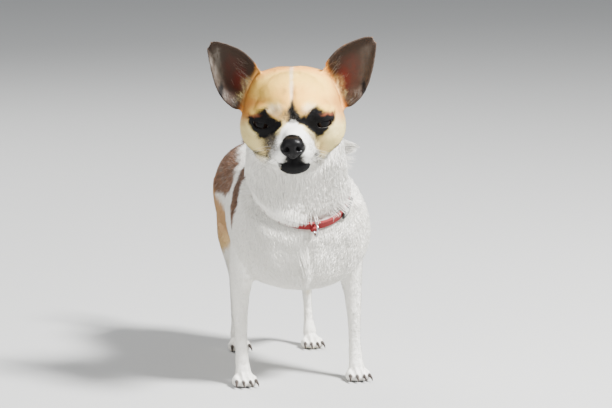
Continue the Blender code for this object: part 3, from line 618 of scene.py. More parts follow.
def headColours(points):
    local = inFrame(points, headFrame)
    p = ragged(local, 4.0, 51, 1.2)
    x, y, z = p.T
    v = 0.956 * z + 0.292 * y  # height as the camera of the photo sees it
    flat = np.stack([x, v, np.zeros(len(x))], axis=1)
    front = 1 - soft(y, -14, -2)
    c = np.tile(shades["tan"], (len(p), 1))
    back = soft(y, 0, 26)
    c = paint(c, oval(flat, 0, 17, 38, 25, 0.45) * (1 - back), "skull")
    c = paint(c, oval(flat, -2, 18, 38, 23, 0.5) * front * 0.85, "skullLight")
    c = paint(c, oval(flat, 3, 8, 17, 9, 0.6) * front * 0.4, "skull")
    c = paint(c, oval(flat, 0, -24, 26, 14, 0.5) * front, "cream")
    c = paint(c, back * soft(-v, 4, 24) * 0.7, "cream")
    for side, strength in ((-1, 0.95), (1, 0.55)):
        c = paint(c, oval(flat, side * 41, -1, 10, 17, 0.45) * (1 - soft(y, 6, 26)) * strength, "orange")
        c = paint(c, oval(flat, side * 30, 3, 11, 5, 0.5) * front * 0.6 * strength, "orange")
        c = paint(c, oval(flat, side * 40, -27, 17, 18, 0.4) * (1 - soft(y, 4, 24)), "cream")
        c = paint(c, oval(flat, side * 15, 0.5, 7, 5.5, 0.55) * front * 0.75, "skullLight")
        c = paint(c, oval(flat, side * 14, -1.6, 5.5, 4.5, 0.55) * front * 0.4, "white")
        c = paint(c, oval(flat, side * 27, -1.5, 8, 3.2, 0.5) * front * 0.7, "skullLight")
    c = paint(c, soft(-z, 24, 36) * (1 - 0.6 * back), "cream")
    c = paint(c, soft(-z, 32, 44), "white")
    blaze = (1 - soft(np.abs(local[:, 0] + 0.2), 0.3, 2.2)) * soft(v, 0, 9) * (1 - soft(y, 0, 12))
    c = paint(c, blaze * 0.45, "white")
    c = paint(c, oval(flat, 2.4, 12.5, 1.6, 5, 0.6) * front * 0.35, "lidPink")
    c = paint(c, oval(flat, -5.5, 12, 1.2, 2, 0.6) * front * 0.35, "sable")
    grizzle = oval(flat, -6.5, -6, 6, 8, 0.55) * front
    c = paint(c, grizzle * (cloud(local, 0.7, 61) > 0.5) * 0.35, "grey")
    specks = 0.3 + 0.4 * (cloud(local, 0.6, 63) > 0.5)
    c = paint(c, oval(flat, -3.6, -7.6, 4.6, 5.6, 0.6) * front * specks, "smoke")
    frown = drawn(flat, faceMarks["frown"], 1.5) * front
    c = paint(c, frown, "grey")
    c = paint(c, frown * (0.82 + 0.18 * (cloud(local, 0.6, 67) > 0.4)), "black")
    # dark hair beside the muzzle, flecked brown; painted shade makes it darker on the animal's right (side -1)
    for side in (-1, 1):
        darkHairAndShade = oval(flat, side * 15.5 - 1.5, -27, 6.5, 8, 0.6) * front
        c = paint(c, darkHairAndShade * (0.3 + 0.35 * (side < 0) + 0.35 * (cloud(local, 0.7, 71) > 0.5)), "smoke")
        c = paint(c, darkHairAndShade * (cloud(local, 0.8, 75) > 0.64 - 0.1 * (side < 0)) * 0.6, "brown")
    c = paint(c, drawn(flat, faceMarks["muzzle"], 0.9) * front, "white")
    for side, strength in ((-1, 0.6), (1, 0.2)):  # dark hair between the eye patches and the muzzle, with painted shade making it darker on the animal's right
        fade = oval(flat, side * 16 - 0.5, -28, 6, 9, 0.6) * front
        c = paint(c, fade * (strength + 0.3 * (cloud(local, 0.7, 65) > 0.55)), "smoke")
    for side in (-1, 1):
        tick = oval(flat, side * 16.5, -33, 3.4, 7, 0.5) * front
        c = paint(c, tick * (cloud(local, 0.7, 73) > 0.52) * 0.6, "grey")
        corner = oval(flat, side * 20.2, -39, 2.4, 4.0, 0.5)
        c = paint(c, corner * (cloud(local, 0.9, 77) > 0.48) * 0.95, "black")
    patches = np.maximum(drawn(flat, faceMarks["rightPatch"], 1.5), drawn(flat, faceMarks["leftPatch"], 1.5))
    c = paint(c, patches * front, "black")
    for place in ((-30.5, -5.6, 5.4, 1.1), (27.5, -6.0, 5.2, 1.1)):
        c = paint(c, oval(flat, *place, 0.5) * front * 0.6, "lidPink")
    for side, strength in ((-1, 0.25), (1, 0.7)):  # painted highlight along the moist rims of the lower lids, stronger on the animal's left
        eye = inFrame(points, eyeFrame(side))
        rim = np.exp(-(((np.linalg.norm(eye, axis=1) - 9.55) / 0.35) ** 2)) * soft(-eye[:, 2], 1.5, 4)
        c = paint(c, rim * (1 - soft(eye[:, 1], -5, -2)) * strength, "grey")
    under = drawn(flat, faceMarks["underNose"], 2.2) * front
    c = paint(c, under * (0.7 + 0.3 * (cloud(local, 0.9, 83) > 0.4)), "smoke")
    c = paint(c, under * (1 - soft(np.abs(x - 0.4), 4.5, 7.5)), "black")
    c = paint(c, drawn(flat, faceMarks["lip"], 0.7) * soft(-local[:, 1], 20, 28), "black")
    mouth = np.exp(-(((local[:, 2] + 31.6) / 1.0) ** 2))
    c = paint(c, mouth * soft(-local[:, 1], 29, 33) * 0.9, "black")
    # painted shadow: a flecked dark line along the lower edge of each cheek, where the cheek shades the jaw
    for line in (
        [(-43, -26.5), (-38, -31), (-32.8, -34.8), (-27, -37), (-20.5, -39.2)],
        [(42, -26), (36, -31.4), (29, -38), (24, -42)],
    ):
        edge = drawn(flat, [(a, b + 2.6) for a, b in line] + [(a, b - 1.4) for a, b in reversed(line)], 1.3)
        c = paint(c, edge * (1 - soft(y, 16, 34)) * (0.6 + 0.35 * (cloud(local, 1.2, 79) > 0.45)), "smoke")
    pad = np.linalg.norm((local - [0, -58.5, -15]) / [11, 7.5, 10.5], axis=1)
    return paint(c, 1 - soft(pad, 0.88, 0.97), "black")


def earColours(points, normals):
    local = inFrame(points, headFrame)
    p = ragged(local, 3.6, 91, 0.9)
    facing = normals @ np.array(headFrame)[:3, 1]  # 1 on the back of the ear
    side = np.sign(local[:, 0])
    x, z = np.abs(p[:, 0]), p[:, 2]
    inside = 1 - soft(facing, -0.1, 0.3)
    streak = cloud(local / [1.0, 1.0, 4.5], 1.2, 97)
    c = np.tile(shades["orange"], (len(p), 1))
    c = paint(c, soft(z, 34, 56) * (0.35 + 0.3 * streak), "sable")
    c = paint(c, inside, "earDark")
    flat = np.stack([x, z, np.zeros(len(x))], axis=1)
    grey = drawn(flat, [(58, 50), (65, 49), (66, 40), (63, 26), (58, 18), (54, 24), (56, 38)], 3.0)
    c = paint(c, grey * inside * (0.1 + 0.35 * streak) * (1 - 0.45 * (side > 0)), "earGrey")
    warm = drawn(flat, [(40, 40), (50, 44), (56, 36), (54, 22), (46, 12), (40, 12), (38, 24)], 4.0)
    c = paint(c, warm * inside * (0.12 + 0.25 * streak), "canal")
    c = paint(c, oval(flat, 41.5, 22, 5.5, 9, 0.6) * inside * 0.8, "canal")
    c = paint(c, oval(flat, 51.5, 11.5, 6, 5.5, 0.6) * inside * (0.1 + 0.25 * streak), "lobe")
    c = paint(c, oval(flat, 57.8, 16, 1.8, 6.5, 0.4) * inside * 0.9, "black")
    c = paint(c, oval(flat, 54.6, 13.5, 1.6, 4.0, 0.6) * inside * 0.2, "grey")
    frost = drawn(flat, [(60, 51), (66, 47), (65.5, 36), (62.5, 28), (59, 36), (57, 46)], 3.0) * (side < 0)
    c = paint(c, frost * inside * (0.05 + 0.25 * (streak > 0.5)), "grey")
    rim = soft(x, 31, 27) + soft(z - (44 + 0.55 * (x - 34)), 3.5, 7.0)
    c = paint(c, np.clip(rim, 0, 1) * inside * 0.65 * soft(z, 20, 30), "orange")
    base = (1 - soft(z, 16, 28)) * (1 - soft(x, 36, 44)) * inside
    c = paint(c, base * (0.25 + 0.6 * (streak > 0.5)), "cream")
    return paint(c, (1 - soft(z, 4, 13)) * soft(x, 37, 41) * (1 - soft(facing, 0.5, 0.95)), "earDark")


def coatColours(points, normals, weights):
    w = weights / weights.sum(axis=1, keepdims=True)
    head = (w[:, 0] + w[:, 7])[:, None]
    ear, tail = w[:, 1:2], w[:, 4:5]
    body = 1 - head - ear - tail
    c = body * bodyColours(points, normals)
    c += head * headColours(points)
    c += ear * earColours(points, normals)
    c += tail * tailColours(points)
    return np.clip(c, 0, 1)


def coatFlow(points, normals, weights):
    body = points * 1000
    head = inFrame(points, headFrame)
    turn = np.array(headFrame)[:3, :3]
    side = np.sign(head[:, 0])[:, None]
    fromNose = unit(head - np.array([0, -70, -12]))
    spread = side * np.array([0.25, 0, 0]) * soft(head[:, 1], -40, 0)[:, None]
    skull = unit(fromNose + np.array([0, 0.3, -0.1]) + spread)
    up = unit(np.stack([head[:, 0] * 0.02, np.full(len(head), 0.2), np.full(len(head), 1.0)], axis=1))
    brow = np.clip(1 - np.abs(head[:, 0]) / 16, 0, 1) * soft(head[:, 2], -12, 2)
    brow = (brow * (1 - soft(head[:, 1], -34, -24)))[:, None]
    headFlow = unit(skull * (1 - brow) + up * brow) @ turn.T
    ones = np.ones((len(body), 1))
    earAxis = np.concatenate([side * 0.62, 0.06 * ones, 0.78 * ones], axis=1)
    earFlow = unit(earAxis) @ turn.T
    front = soft(-normals[:, 1], 0.0, 0.6)[:, None]
    neckFlow = unit(np.array([0, 0.55, -0.85]) * (1 - front) + np.array([0, -0.1, -1.0]) * front)
    top = soft(normals[:, 2], 0.3, 0.9)[:, None]
    under = soft(-normals[:, 2], 0.3, 0.9)[:, None]
    chest = (soft(-body[:, 1], 30, 60) * soft(body[:, 2], 60, 90))[:, None]
    middle = 6 - body[:, 0:1]
    crest = np.concatenate([np.clip(middle / 40, -0.5, 0.5), -0.05 * ones, -ones], axis=1)
    flank = np.array([0, 1.0, -0.55]) * (1 - top) + np.array([0, 1.0, 0.0]) * top
    flank = flank * (1 - under) + np.array([0, 0.9, 0.0]) * under
    haunch = (soft(body[:, 1], 70, 105))[:, None]
    flank = flank * (1 - haunch) + np.array([0, 0.45, -0.9]) * haunch
    torsoFlow = unit(flank * (1 - chest) + crest * chest)
    back, rise = soft(body[:, 2], 240, 200) * 0.6 + 0.2, soft(body[:, 1], 150, 90) + 0.4
    tailFlow = unit(np.stack([np.full(len(body), -0.1), back, rise], axis=1))
    legFlow = np.tile(unit(np.array([0, 0.22, -1.0])), (len(body), 1))
    pawFlow = np.tile(unit(np.array([0, -0.8, -0.7])), (len(body), 1))
    table = {
        "head": headFlow, "jaw": headFlow, "ear": earFlow, "neck": neckFlow,
        "torso": torsoFlow, "tail": tailFlow, "leg": legFlow, "paw": pawFlow,
    }
    flow = sum(weights[:, i : i + 1] * table[r] for i, r in enumerate(regions))
    flow = flow - normals * (flow * normals).sum(axis=1, keepdims=True)
    return unit(flow)


coatLook = {  # per square millimetre, then millimetres and degrees
    "density": {"head": 3.2, "ear": 1.8, "neck": 1.6, "torso": 1.45, "tail": 1.6, "leg": 2.0, "paw": 2.4, "jaw": 3.2},
    "length": {"head": 2.8, "ear": 1.6, "neck": 7.6, "torso": 6.0, "tail": 8.5, "leg": 3.6, "paw": 2.0, "jaw": 2.0},
    "width": {"head": 0.3, "ear": 0.24, "neck": 0.52, "torso": 0.5, "tail": 0.56, "leg": 0.4, "paw": 0.3, "jaw": 0.26},
    "lift": {"head": 12, "ear": 7, "neck": 12, "torso": 10, "tail": 22, "leg": 11, "paw": 12, "jaw": 14},
    "share": 1.0,
    "sway": 14, "stray": 7,  # how far neighbouring tufts lean together, and each one on its own
    "root": 0.0003,  # how deep each tuft starts under the skin, in metres
    "limit": 190000,  # triangles in one piece
    "unwrapVoxel": 0.004, "patch": 0.003,  # the unwrap's faces in metres, and a tuft's share of its map
}


def skinData(skin):
    mesh = skin.data
    points = meshPoints(mesh)
    edges = meshEdges(mesh)
    normals = unit(eased(meshNormals(mesh), edges, len(points), 3))
    weights = regionWeights(points, edges, 14, 130)
    flow = coatFlow(points, normals, weights)
    flow = unit(eased(flow, edges, len(points), 6))
    return {"points": points, "normals": normals, "weights": weights, "flow": flow, "triangles": triangles(mesh)}


def unwrapped(skin):  # a light copy of the skin, unwrapped, and a tree to look places up on it
    copy = objectOf("skinUnwrap", skin.data.copy())
    voxelled(copy, coatLook["unwrapVoxel"])
    bpy.context.view_layer.objects.active = copy
    copy.select_set(True)
    bpy.ops.object.mode_set(mode="EDIT")
    bpy.ops.mesh.select_all(action="SELECT")
    bpy.ops.mesh.quads_convert_to_tris()
    bpy.ops.uv.smart_project(angle_limit=math.radians(60), island_margin=0.004)
    bpy.ops.object.mode_set(mode="OBJECT")
    mesh = copy.data
    points = meshPoints(mesh)
    faces = np.array([list(f.vertices) for f in mesh.polygons])
    uvs = np.empty(len(mesh.loops) * 2)
    mesh.uv_layers.active.data.foreach_get("uv", uvs)
    uvs = uvs.reshape(-1, 2)
    corners = np.array([[uvs[i] for i in f.loop_indices] for f in mesh.polygons])
    bpy.data.objects.remove(copy)
    return {"points": points, "faces": faces, "corners": corners, "tree": treeOf(points, faces)}


def placesOn(sheet, points):  # the unwrap's UV under each point
    found = [sheet["tree"].find_nearest(Vector(p)) for p in points]
    spots = np.array([f[0] for f in found])
    index = np.array([f[2] for f in found])
    a, b, c = (sheet["points"][sheet["faces"][index, i]] for i in range(3))
    ab, ac, ap = b - a, c - a, spots - a
    d00, d01, d11 = (ab * ab).sum(1), (ab * ac).sum(1), (ac * ac).sum(1)
    d20, d21 = (ap * ab).sum(1), (ap * ac).sum(1)
    base = np.maximum(d00 * d11 - d01 * d01, 1e-18)
    v = np.clip((d11 * d20 - d01 * d21) / base, 0, 1)
    w = np.clip((d00 * d21 - d01 * d20) / base, 0, 1)
    uv = sheet["corners"][index]
    return uv[:, 0] * (1 - v - w)[:, None] + uv[:, 1] * v[:, None] + uv[:, 2] * w[:, None]


def scatter(data, density, rng):  # roots spread evenly by triangle area
    t = data["triangles"]
    a, b, c = (data["points"][t[:, i]] for i in range(3))
    area = np.linalg.norm(np.cross(b - a, c - a), axis=1) / 2 * 1e6
    wanted = area * density[t].mean(axis=1)
    number = np.floor(wanted + rng.random(len(t))).astype(int)
    index = np.repeat(np.arange(len(t)), number)
    r1, r2 = np.sqrt(rng.random(len(index))), rng.random(len(index))
    bary = np.stack([1 - r1, r1 * (1 - r2), r1 * r2], axis=1)

    def at(values):
        return (values[t[index]] * bary[:, :, None]).sum(axis=1)

    return at


def sliverMesh(name, spine, over, wide, colours, uv):  # closed slivers, three-sided, along each line of the spine
    n, bends = len(spine[0]), len(spine) - 1
    points, tint = [], []
    wide = wide[:, None]
    for i in range(bends):
        along = unit(spine[i + 1] - spine[i])
        across = unit(np.cross(over, along))
        scale = 1.0 - 0.6 * i / bends if bends != 2 else 1.0 - 0.15 * i
        # painted shade: each tuft is darker at its root, where the tufts around it shade it; its tip is painted a
        # little lighter, as if lit (painted light)
        shade = 0.94 + 0.06 * i / bends
        for side, high in ((-0.5, 0.0), (0.5, 0.0), (0.0, 0.45)):
            points.append(spine[i] + across * (side * scale * wide) + over * (high * scale * wide))
            tint.append(colours * shade)
    points.append(spine[-1])
    tint.append(np.clip(colours * 1.04, 0, 1))
    per = bends * 3 + 1
    points = np.stack(points, axis=1).reshape(-1, 3)
    points[:, 2] = np.maximum(points[:, 2], 0.0001)
    tint = np.stack(tint, axis=1).reshape(-1, 3)
    faces = [(0, 1, 2)]
    for i in range(bends - 1):
        b = i * 3
        for k in range(3):
            j = (k + 1) % 3
            faces += [(b + k, b + 3 + j, b + j), (b + k, b + 3 + k, b + 3 + j)]
    b = (bends - 1) * 3
    for k in range(3):
        faces.append((b + k, per - 1, b + (k + 1) % 3))
    faces = (np.arange(n)[:, None, None] * per + np.array(faces)[None]).reshape(-1, 3)
    mesh = meshFrom(name, points, faces)
    inkOn(mesh, "coat", tint)
    half = coatLook["patch"] / 2
    patch = np.array([(-half, -half), (half, -half), (0, 0.0)] * bends + [(0, half)])
    for i in range(bends):
        patch[i * 3 : i * 3 + 3, 1] += half * i / bends
    place = (uv[:, None, :] + patch[None]).reshape(-1, 2)
    bake = mesh.uv_layers.new(name="OFBake")
    bake.data.foreach_set("uv", place[faces.ravel()].ravel())
    mesh.materials.append(coatHair)
    return mesh


def lyingSpine(roots, normals, flow, length, lift, rng, bends):  # lines that rise from the skin and lie back
    n = len(roots)
    lean = (cloud(roots * 1000, 7, 41) - 0.5) * 2 * coatLook["sway"]
    angle = np.radians(lean + rng.normal(0, coatLook["stray"], n))
    across = unit(np.cross(normals, flow))
    along = unit(flow * np.cos(angle)[:, None] + across * np.sin(angle)[:, None])
    rise = np.radians(lift + rng.normal(0, 3, n))
    spine = [roots - normals * coatLook["root"]]
    step = (length / bends)[:, None]
    for i in range(bends):
        slope = rise * (1.25 - 0.85 * i) if bends > 1 else rise
        direction = along * np.cos(slope)[:, None] + normals * np.sin(slope)[:, None]
        spine.append(spine[-1] + direction * step)
    return spine


def hairPiece(name, mesh):
    obj = objectOf(name, mesh)
    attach(obj, "root")
    print("coat piece", name, len(mesh.polygons), "triangles")


def newMaterial(name, rough, specular=0.5):
    mat = bpy.data.materials.new(name)
    mat.use_nodes = True
    shader = mat.node_tree.nodes["Principled BSDF"]
    shader.inputs["Roughness"].default_value = rough
    shader.inputs["Specular IOR Level"].default_value = specular
    return mat, mat.node_tree, shader


def inkFrom(tree, label):  # the colour that the points carry
    ink = tree.nodes.new("ShaderNodeVertexColor")
    ink.layer_name = label
    return ink.outputs["Color"]


def pattern(tree, kind, scale):  # a texture laid in the piece's own space
    where = tree.nodes.new("ShaderNodeTexCoord")
    texture = tree.nodes.new(kind)
    texture.inputs["Scale"].default_value = scale
    tree.links.new(where.outputs["Object"], texture.inputs["Vector"])
    return texture


def bumped(tree, shader, height, strength, distance):
    bump = tree.nodes.new("ShaderNodeBump")
    bump.inputs["Strength"].default_value = strength
    bump.inputs["Distance"].default_value = distance
    tree.links.new(height, bump.inputs["Height"])
    tree.links.new(bump.outputs["Normal"], shader.inputs["Normal"])
    return bump


def ramped(tree, shader, share, low, high):  # from a low colour to a high one
    ramp = tree.nodes.new("ShaderNodeValToRGB")
    ends = ramp.color_ramp.elements
    ends[0].color, ends[1].color = (*low, 1), (*high, 1)
    tree.links.new(share, ramp.inputs["Fac"])
    tree.links.new(ramp.outputs["Color"], shader.inputs["Base Color"])
    return ends


def coatMaterial():
    mat, tree, shader = newMaterial("coatHair", 0.62, 0.12)
    tree.links.new(inkFrom(tree, "coat"), shader.inputs["Base Color"])
    return mat


def skinMaterial():
    mat, tree, shader = newMaterial("shortCoat", 0.7, 0.12)
    grain = pattern(tree, "ShaderNodeTexNoise", 900)
    grain.inputs["Detail"].default_value = 3
    bumped(tree, shader, grain.outputs["Fac"], 0.42, 0.0004)
    mixer = tree.nodes.new("ShaderNodeMix")
    mixer.data_type = "RGBA"
    mixer.blend_type = "MULTIPLY"
    mixer.inputs["Factor"].default_value = 0.12
    tree.links.new(inkFrom(tree, "coat"), mixer.inputs["A"])
    tree.links.new(grain.outputs["Fac"], mixer.inputs["B"])
    tree.links.new(mixer.outputs["Result"], shader.inputs["Base Color"])
    return mat


coatHair = coatMaterial()
data = skinData(skin)
inkOn(skin.data, "coat", coatColours(data["points"], data["normals"], data["weights"]))
skin.data.materials.clear()
skin.data.materials.append(skinMaterial())
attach(skin, "root")
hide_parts(*flesh)
print("skin coloured")

sheet = unwrapped(skin)
print("unwrap has", len(sheet["faces"]), "faces")


fringeLook = {  # hair that hangs over the collar: how much of it, by the turn round the neck in degrees
    "turns": [-180, -125, -108, -98, -88, -74, -60, -50, -44, -20, -10, 40, 90, 140, 180],
    "cover": [1.0, 1.0, 0.7, 0.3, 0.12, 0.04, 0.05, 0.15, 0.4, 0.35, 0.2, 0.35, 0.75, 1.0, 1.0],
    "density": 1.5, "width": 0.46, "from": 3.6, "to": 15,
}


def makeCoat():
    rng = np.random.default_rng(5)
    points, weights = data["points"], data["weights"]
    density = blend(weights, coatLook["density"]) * coatLook["share"]
    bare = nearEyes(points, 9.6, 10.6)  # no hair on the balls' side of the lids
    density = density * (1 - 0.9 * bare)
    collarSide = inFrame(points, collarFrame)
    turn = np.degrees(collarTurn(collarSide))
    shown = 1 - np.interp(turn, fringeLook["turns"], fringeLook["cover"])
    density[points[:, 2] < 0.0012] = 0
    underBand = (collarSide[:, 2] > -2.8) & (collarSide[:, 2] < 2.8 + 3.4 * shown)
    density[underBand & (weights[:, 2] + weights[:, 3] > 0.5) & (points[:, 2] > 0.12) & (points[:, 1] < 0.02)] = 0
    at = scatter(data, density, rng)
    roots, normals, flow = at(points), unit(at(data["normals"])), unit(at(data["flow"]))
    w = at(weights)
    n = len(roots)
    length = blend(w, coatLook["length"])
    width = blend(w, coatLook["width"])
    lift = blend(w, coatLook["lift"])
    local = inFrame(roots, headFrame)
    muzzle = np.clip(1.3 - np.linalg.norm((local - [0, -50, -18]) / [22, 26, 20], axis=1), 0, 1) * (w[:, 0] + w[:, 7])
    muzzle = np.clip(muzzle * 2.5, 0, 1)
    length = length * (1 - 0.5 * muzzle)
    width = width * (1 - 0.2 * muzzle)
    lids = nearEyes(roots, 10, 14)
    length = length * (1 - 0.6 * lids)
    lift = lift * (1 - 0.4 * lids)
    throat = w[:, 2] * soft(-normals[:, 1], 0.1, 0.6) * soft(roots[:, 2], 0.15, 0.18)
    length = length * (1 + 0.3 * throat)
    length = length * rng.uniform(0.7, 1.25, n) / 1000
    width = width * rng.uniform(0.75, 1.25, n) / 1000
    colours = coatColours(roots, normals, w)
    value = rng.normal(1, 0.05, n)
    dark = colours.mean(axis=1) < 0.35
    value = np.where(dark & (w[:, 3] > 0.5), rng.normal(1, 0.3, n), value)
    colours = np.clip(colours * np.clip(value, 0.3, 1.8)[:, None], 0, 1)
    uv = placesOn(sheet, roots)
    bends = np.where(length > 0.0048, 2, 1)
    pieces = 0
    headHere = (w[:, 0] + w[:, 1] + w[:, 7]) > 0.5
    for label, pick in (("head", headHere), ("body", ~headHere)):
        for count in (1, 2):
            chosen = np.flatnonzero(pick & (bends == count))
            if not len(chosen):
                continue
            chosen = chosen[np.argsort(roots[chosen, 0 if label == "head" else 1], kind="stable")]
            limit = coatLook["limit"] // (4 if count == 1 else 10)
            for part in np.array_split(chosen, max(1, math.ceil(len(chosen) / limit))):
                pieces += 1
                name = "coat_%02d" % pieces
                spine = lyingSpine(roots[part], normals[part], flow[part], length[part], lift[part], rng, count)
                hairPiece(name, sliverMesh(name, spine, normals[part], width[part], colours[part], uv[part]))
    print("coat has", n, "tufts")


makeCoat()


def ovalAt(turn, offset):  # a place on the collar's oval, that far out from its middle line
    spot = np.stack([collarPose["halfWidth"] * np.cos(turn), collarPose["halfDepth"] * np.sin(turn)], axis=-1)
    out = unit(spot / [collarPose["halfWidth"] ** 2, collarPose["halfDepth"] ** 2])
    return spot + out * np.asarray(offset)[..., None]


def makeFringe():
    rng = np.random.default_rng(17)
    points, weights = data["points"], data["weights"]
    local = inFrame(points, collarFrame)
    turn = collarTurn(local)
    cover = np.interp(np.degrees(turn), fringeLook["turns"], fringeLook["cover"])
    near = np.linalg.norm(local[:, :2], axis=1) < 60
    near = near & (local[:, 2] > fringeLook["from"]) & (local[:, 2] < fringeLook["to"])
    near = near & (local[:, 2] < np.interp(cover, [0.0, 0.5, 1.0], [7, 11, fringeLook["to"]]))
    at = scatter(data, fringeLook["density"] * coatLook["share"] * cover * near, rng)
    roots, normals, w = at(points), unit(at(data["normals"])), at(weights)
    n = len(roots)
    local = inFrame(roots, collarFrame)
    turn = collarTurn(local)
    cover = np.interp(np.degrees(turn), fringeLook["turns"], fringeLook["cover"])
    overBuckle = (np.abs(np.degrees(turn) + 33) < 17) * 2.6
    outer = collarPose["thick"] / 2 + overBuckle
    clump = cloud(local, 4.5, 43)
    low = np.interp(cover, [0.1, 0.5, 1.0], [2.2, -1.0, -5.0]) - rng.uniform(-1.5, 3.0, n) - 7 * (clump - 0.5)
    sway = rng.normal(0, 0.035, n) + 0.12 * (cloud(local, 6, 47) - 0.5)
    spine = [roots - normals * coatLook["root"]]
    for share, off in ((0.4, 0.0), (0.75, 0.1), (1.0, -0.5)):
        up = np.full(n, 4.2) if share < 0.5 else 4.0 + (low - 4.0) * (share - 0.4) / 0.6
        off = np.where(up < -3.5, -1.2, off)
        spot = ovalAt(turn + sway * share, outer + off + rng.uniform(0, 0.4, n))
        spine.append(toWorld(np.concatenate([spot, up[:, None]], axis=1), collarFrame))
    middle = toWorld(np.array([[0.0, 0.0, 0.0]]), collarFrame)
    over = unit(roots - middle)
    colours = np.clip(coatColours(roots, normals, w) * rng.normal(1, 0.04, n)[:, None], 0, 1)
    wide = fringeLook["width"] * (0.65 + 0.35 * cover) * rng.uniform(0.7, 1.3, n) / 1000
    hairPiece("coatFringe", sliverMesh("coatFringe", spine, over, wide, colours, placesOn(sheet, roots)))


makeFringe()


def own(*spot):  # a place in the source's own millimetres
    return np.array(spot) + np.array(shift) * 1000


def onHead(*spot):
    return toWorld(np.array([spot], dtype=float), headFrame)[0] * 1000


wisps = [  # root, tip, spread at the root and at the tip, hairs, width, shade; lengths in millimetres
    (own(36, 0, 210), own(48.8, -4, 197.8), 5.0, 0.7, 190, 0.46, "white"),
    (own(36, -1, 204), own(49.4, -4, 197.2), 5.0, 0.6, 220, 0.46, "white"),
    (own(35, -2, 198), own(46.5, -5, 195), 4.6, 1.4, 120, 0.46, "white"),
    (own(35, -2, 193), own(44, -5, 188), 6.0, 4.0, 60, 0.4, "white"),
    (own(35, -3, 186), own(41, -6, 180), 6.0, 4.0, 40, 0.4, "white"),
    (own(-10.5, -46, 118), own(-8, -47.5, 104), 6.0, 3.2, 80, 0.42, "white"),
    (own(-9, -47, 110), own(-6.6, -46.5, 96), 6.0, 2.8, 80, 0.42, "white"),
    (own(-7, -45, 101), own(-5.8, -44.5, 90), 4.4, 2.2, 60, 0.38, "white"),
    (own(-6, -42, 94), own(-6.4, -41.5, 84.5), 3.0, 1.2, 36, 0.34, "white"),
]
for side, x in ((-1, 38.5), (1, 34.5)):
    wisps += [
        (onHead(side * x, 2, 27), onHead(side * (x + 4), -1, 34), 4.2, 4.6, 14, 0.14, "grey"),
        (onHead(side * x, 2, 33), onHead(side * (x + 3.5), -2, 41), 4.2, 4.6, 14, 0.14, "grey"),
        (onHead(side * 38.5, 1, 19), onHead(side * 43, -1, 25), 4.2, 4.2, 12, 0.14, "grey"),
        (onHead(side * 42, -2, 4), onHead(side * 48, -4, 10), 4.6, 4.4, 36, 0.15, "grey"),
        (onHead(side * 39, -3, 9), onHead(side * 44, -5, 15), 4.6, 4.2, 32, 0.15, "cream"),
        (onHead(side * 53, -1, 8), onHead(side * 53.5, -3, 15), 3.0, 3.4, 20, 0.15, "grey"),
    ]


def makeWisps():
    rng = np.random.default_rng(23)
    tree = treeOf(data["points"], data["triangles"])
    parts = []
    for root, tip, spread, gather, hairs, width, shade in wisps:
        hairs = max(6, int(hairs * (1)))
        for _ in range(hairs):
            scatterBy = rng.normal(0, 0.5, 3)
            spot, normal, *_ = tree.find_nearest(Vector((root + scatterBy * spread) / 1000))
            normal = np.array(normal)
            end = (tip + scatterBy * gather + rng.normal(0, 0.06, 3) * spread) / 1000
            across = width * rng.uniform(0.7, 1.2)
            parts.append((np.array(spot), normal, end, across, shades[shade] * rng.normal(1, 0.05)))
    roots = np.array([p[0] for p in parts])
    normals = np.array([p[1] for p in parts])
    ends = np.array([p[2] for p in parts])
    bow = np.linalg.norm(ends - roots, axis=1)[:, None] * 0.03
    spine = [roots - normals * coatLook["root"]]
    for t in (0.35, 0.7, 1.0):
        spine.append(roots + (ends - roots) * t + normals * bow * math.sin(math.pi * t))
    colours = np.clip(np.array([p[4] for p in parts]), 0, 1)
    wide = np.array([p[3] for p in parts]) / 1000
    hairPiece("coatWisps", sliverMesh("coatWisps", spine, normals, wide, colours, placesOn(sheet, roots)))


makeWisps()


whiskerLook = {"width": 0.17, "rows": 3, "each": 5, "length": (12, 26), "brow": 4}


def makeWhiskers():
    rng = np.random.default_rng(31)
    tree = treeOf(data["points"], data["triangles"])
    roots, normals, ends, drop, tints = [], [], [], [], []
    for side in (-1, 1):
        starts = []
        for row in range(whiskerLook["rows"]):
            for k in range(whiskerLook["each"]):
                start = (side * (11 + 2.1 * k), -54 + 3.6 * k, -20.5 - 3.4 * row)
                starts.append((start, (side * 0.95, 0.32, -0.22 - 0.16 * row)))
        for k in range(whiskerLook["brow"]):
            starts.append(((side * (12 + 2.5 * k), -38, 8 - 0.5 * k), (side * (0.25 + 0.12 * k), -0.5, 0.75)))
        starts.append(((side * 31, -20, -31), (side * 0.9, 0.1, -0.4)))
        starts.append(((side * 33, -18, -29), (side * 0.95, 0.2, -0.25)))
        for start, way in starts:
            jitter = rng.normal(0, 0.6, 3)
            place = onHead(*(np.array(start) + jitter)) / 1000
            spot, normal, *_ = tree.find_nearest(Vector(place))
            way = unit(np.array(way) + rng.normal(0, 0.1, 3))
            reach = rng.uniform(*whiskerLook["length"]) * (0.45 if start[2] > 0 else 1)
            roots.append(np.array(spot))
            normals.append(np.array(normal))
            ends.append(np.array(spot) + np.array(headFrame)[:3, :3] @ way * reach / 1000)
            drop.append(reach * 0.14)
            tints.append(colour(46, 40, 38) if rng.random() < 0.6 else colour(225, 220, 210))
    roots, normals, ends = np.array(roots), np.array(normals), np.array(ends)
    spine = [roots - normals * coatLook["root"]]
    for t in (0.2, 0.4, 0.6, 0.8, 1.0):
        sag = np.array(drop)[:, None] / 1000 * t**2 * np.array([0, 0, -1.0])
        spine.append(roots + (ends - roots) * t + sag)
    wide = np.full(len(roots), whiskerLook["width"] / 1000)
    hairPiece("coatWhiskers", sliverMesh("coatWhiskers", spine, normals, wide, np.array(tints), placesOn(sheet, roots)))


makeWhiskers()


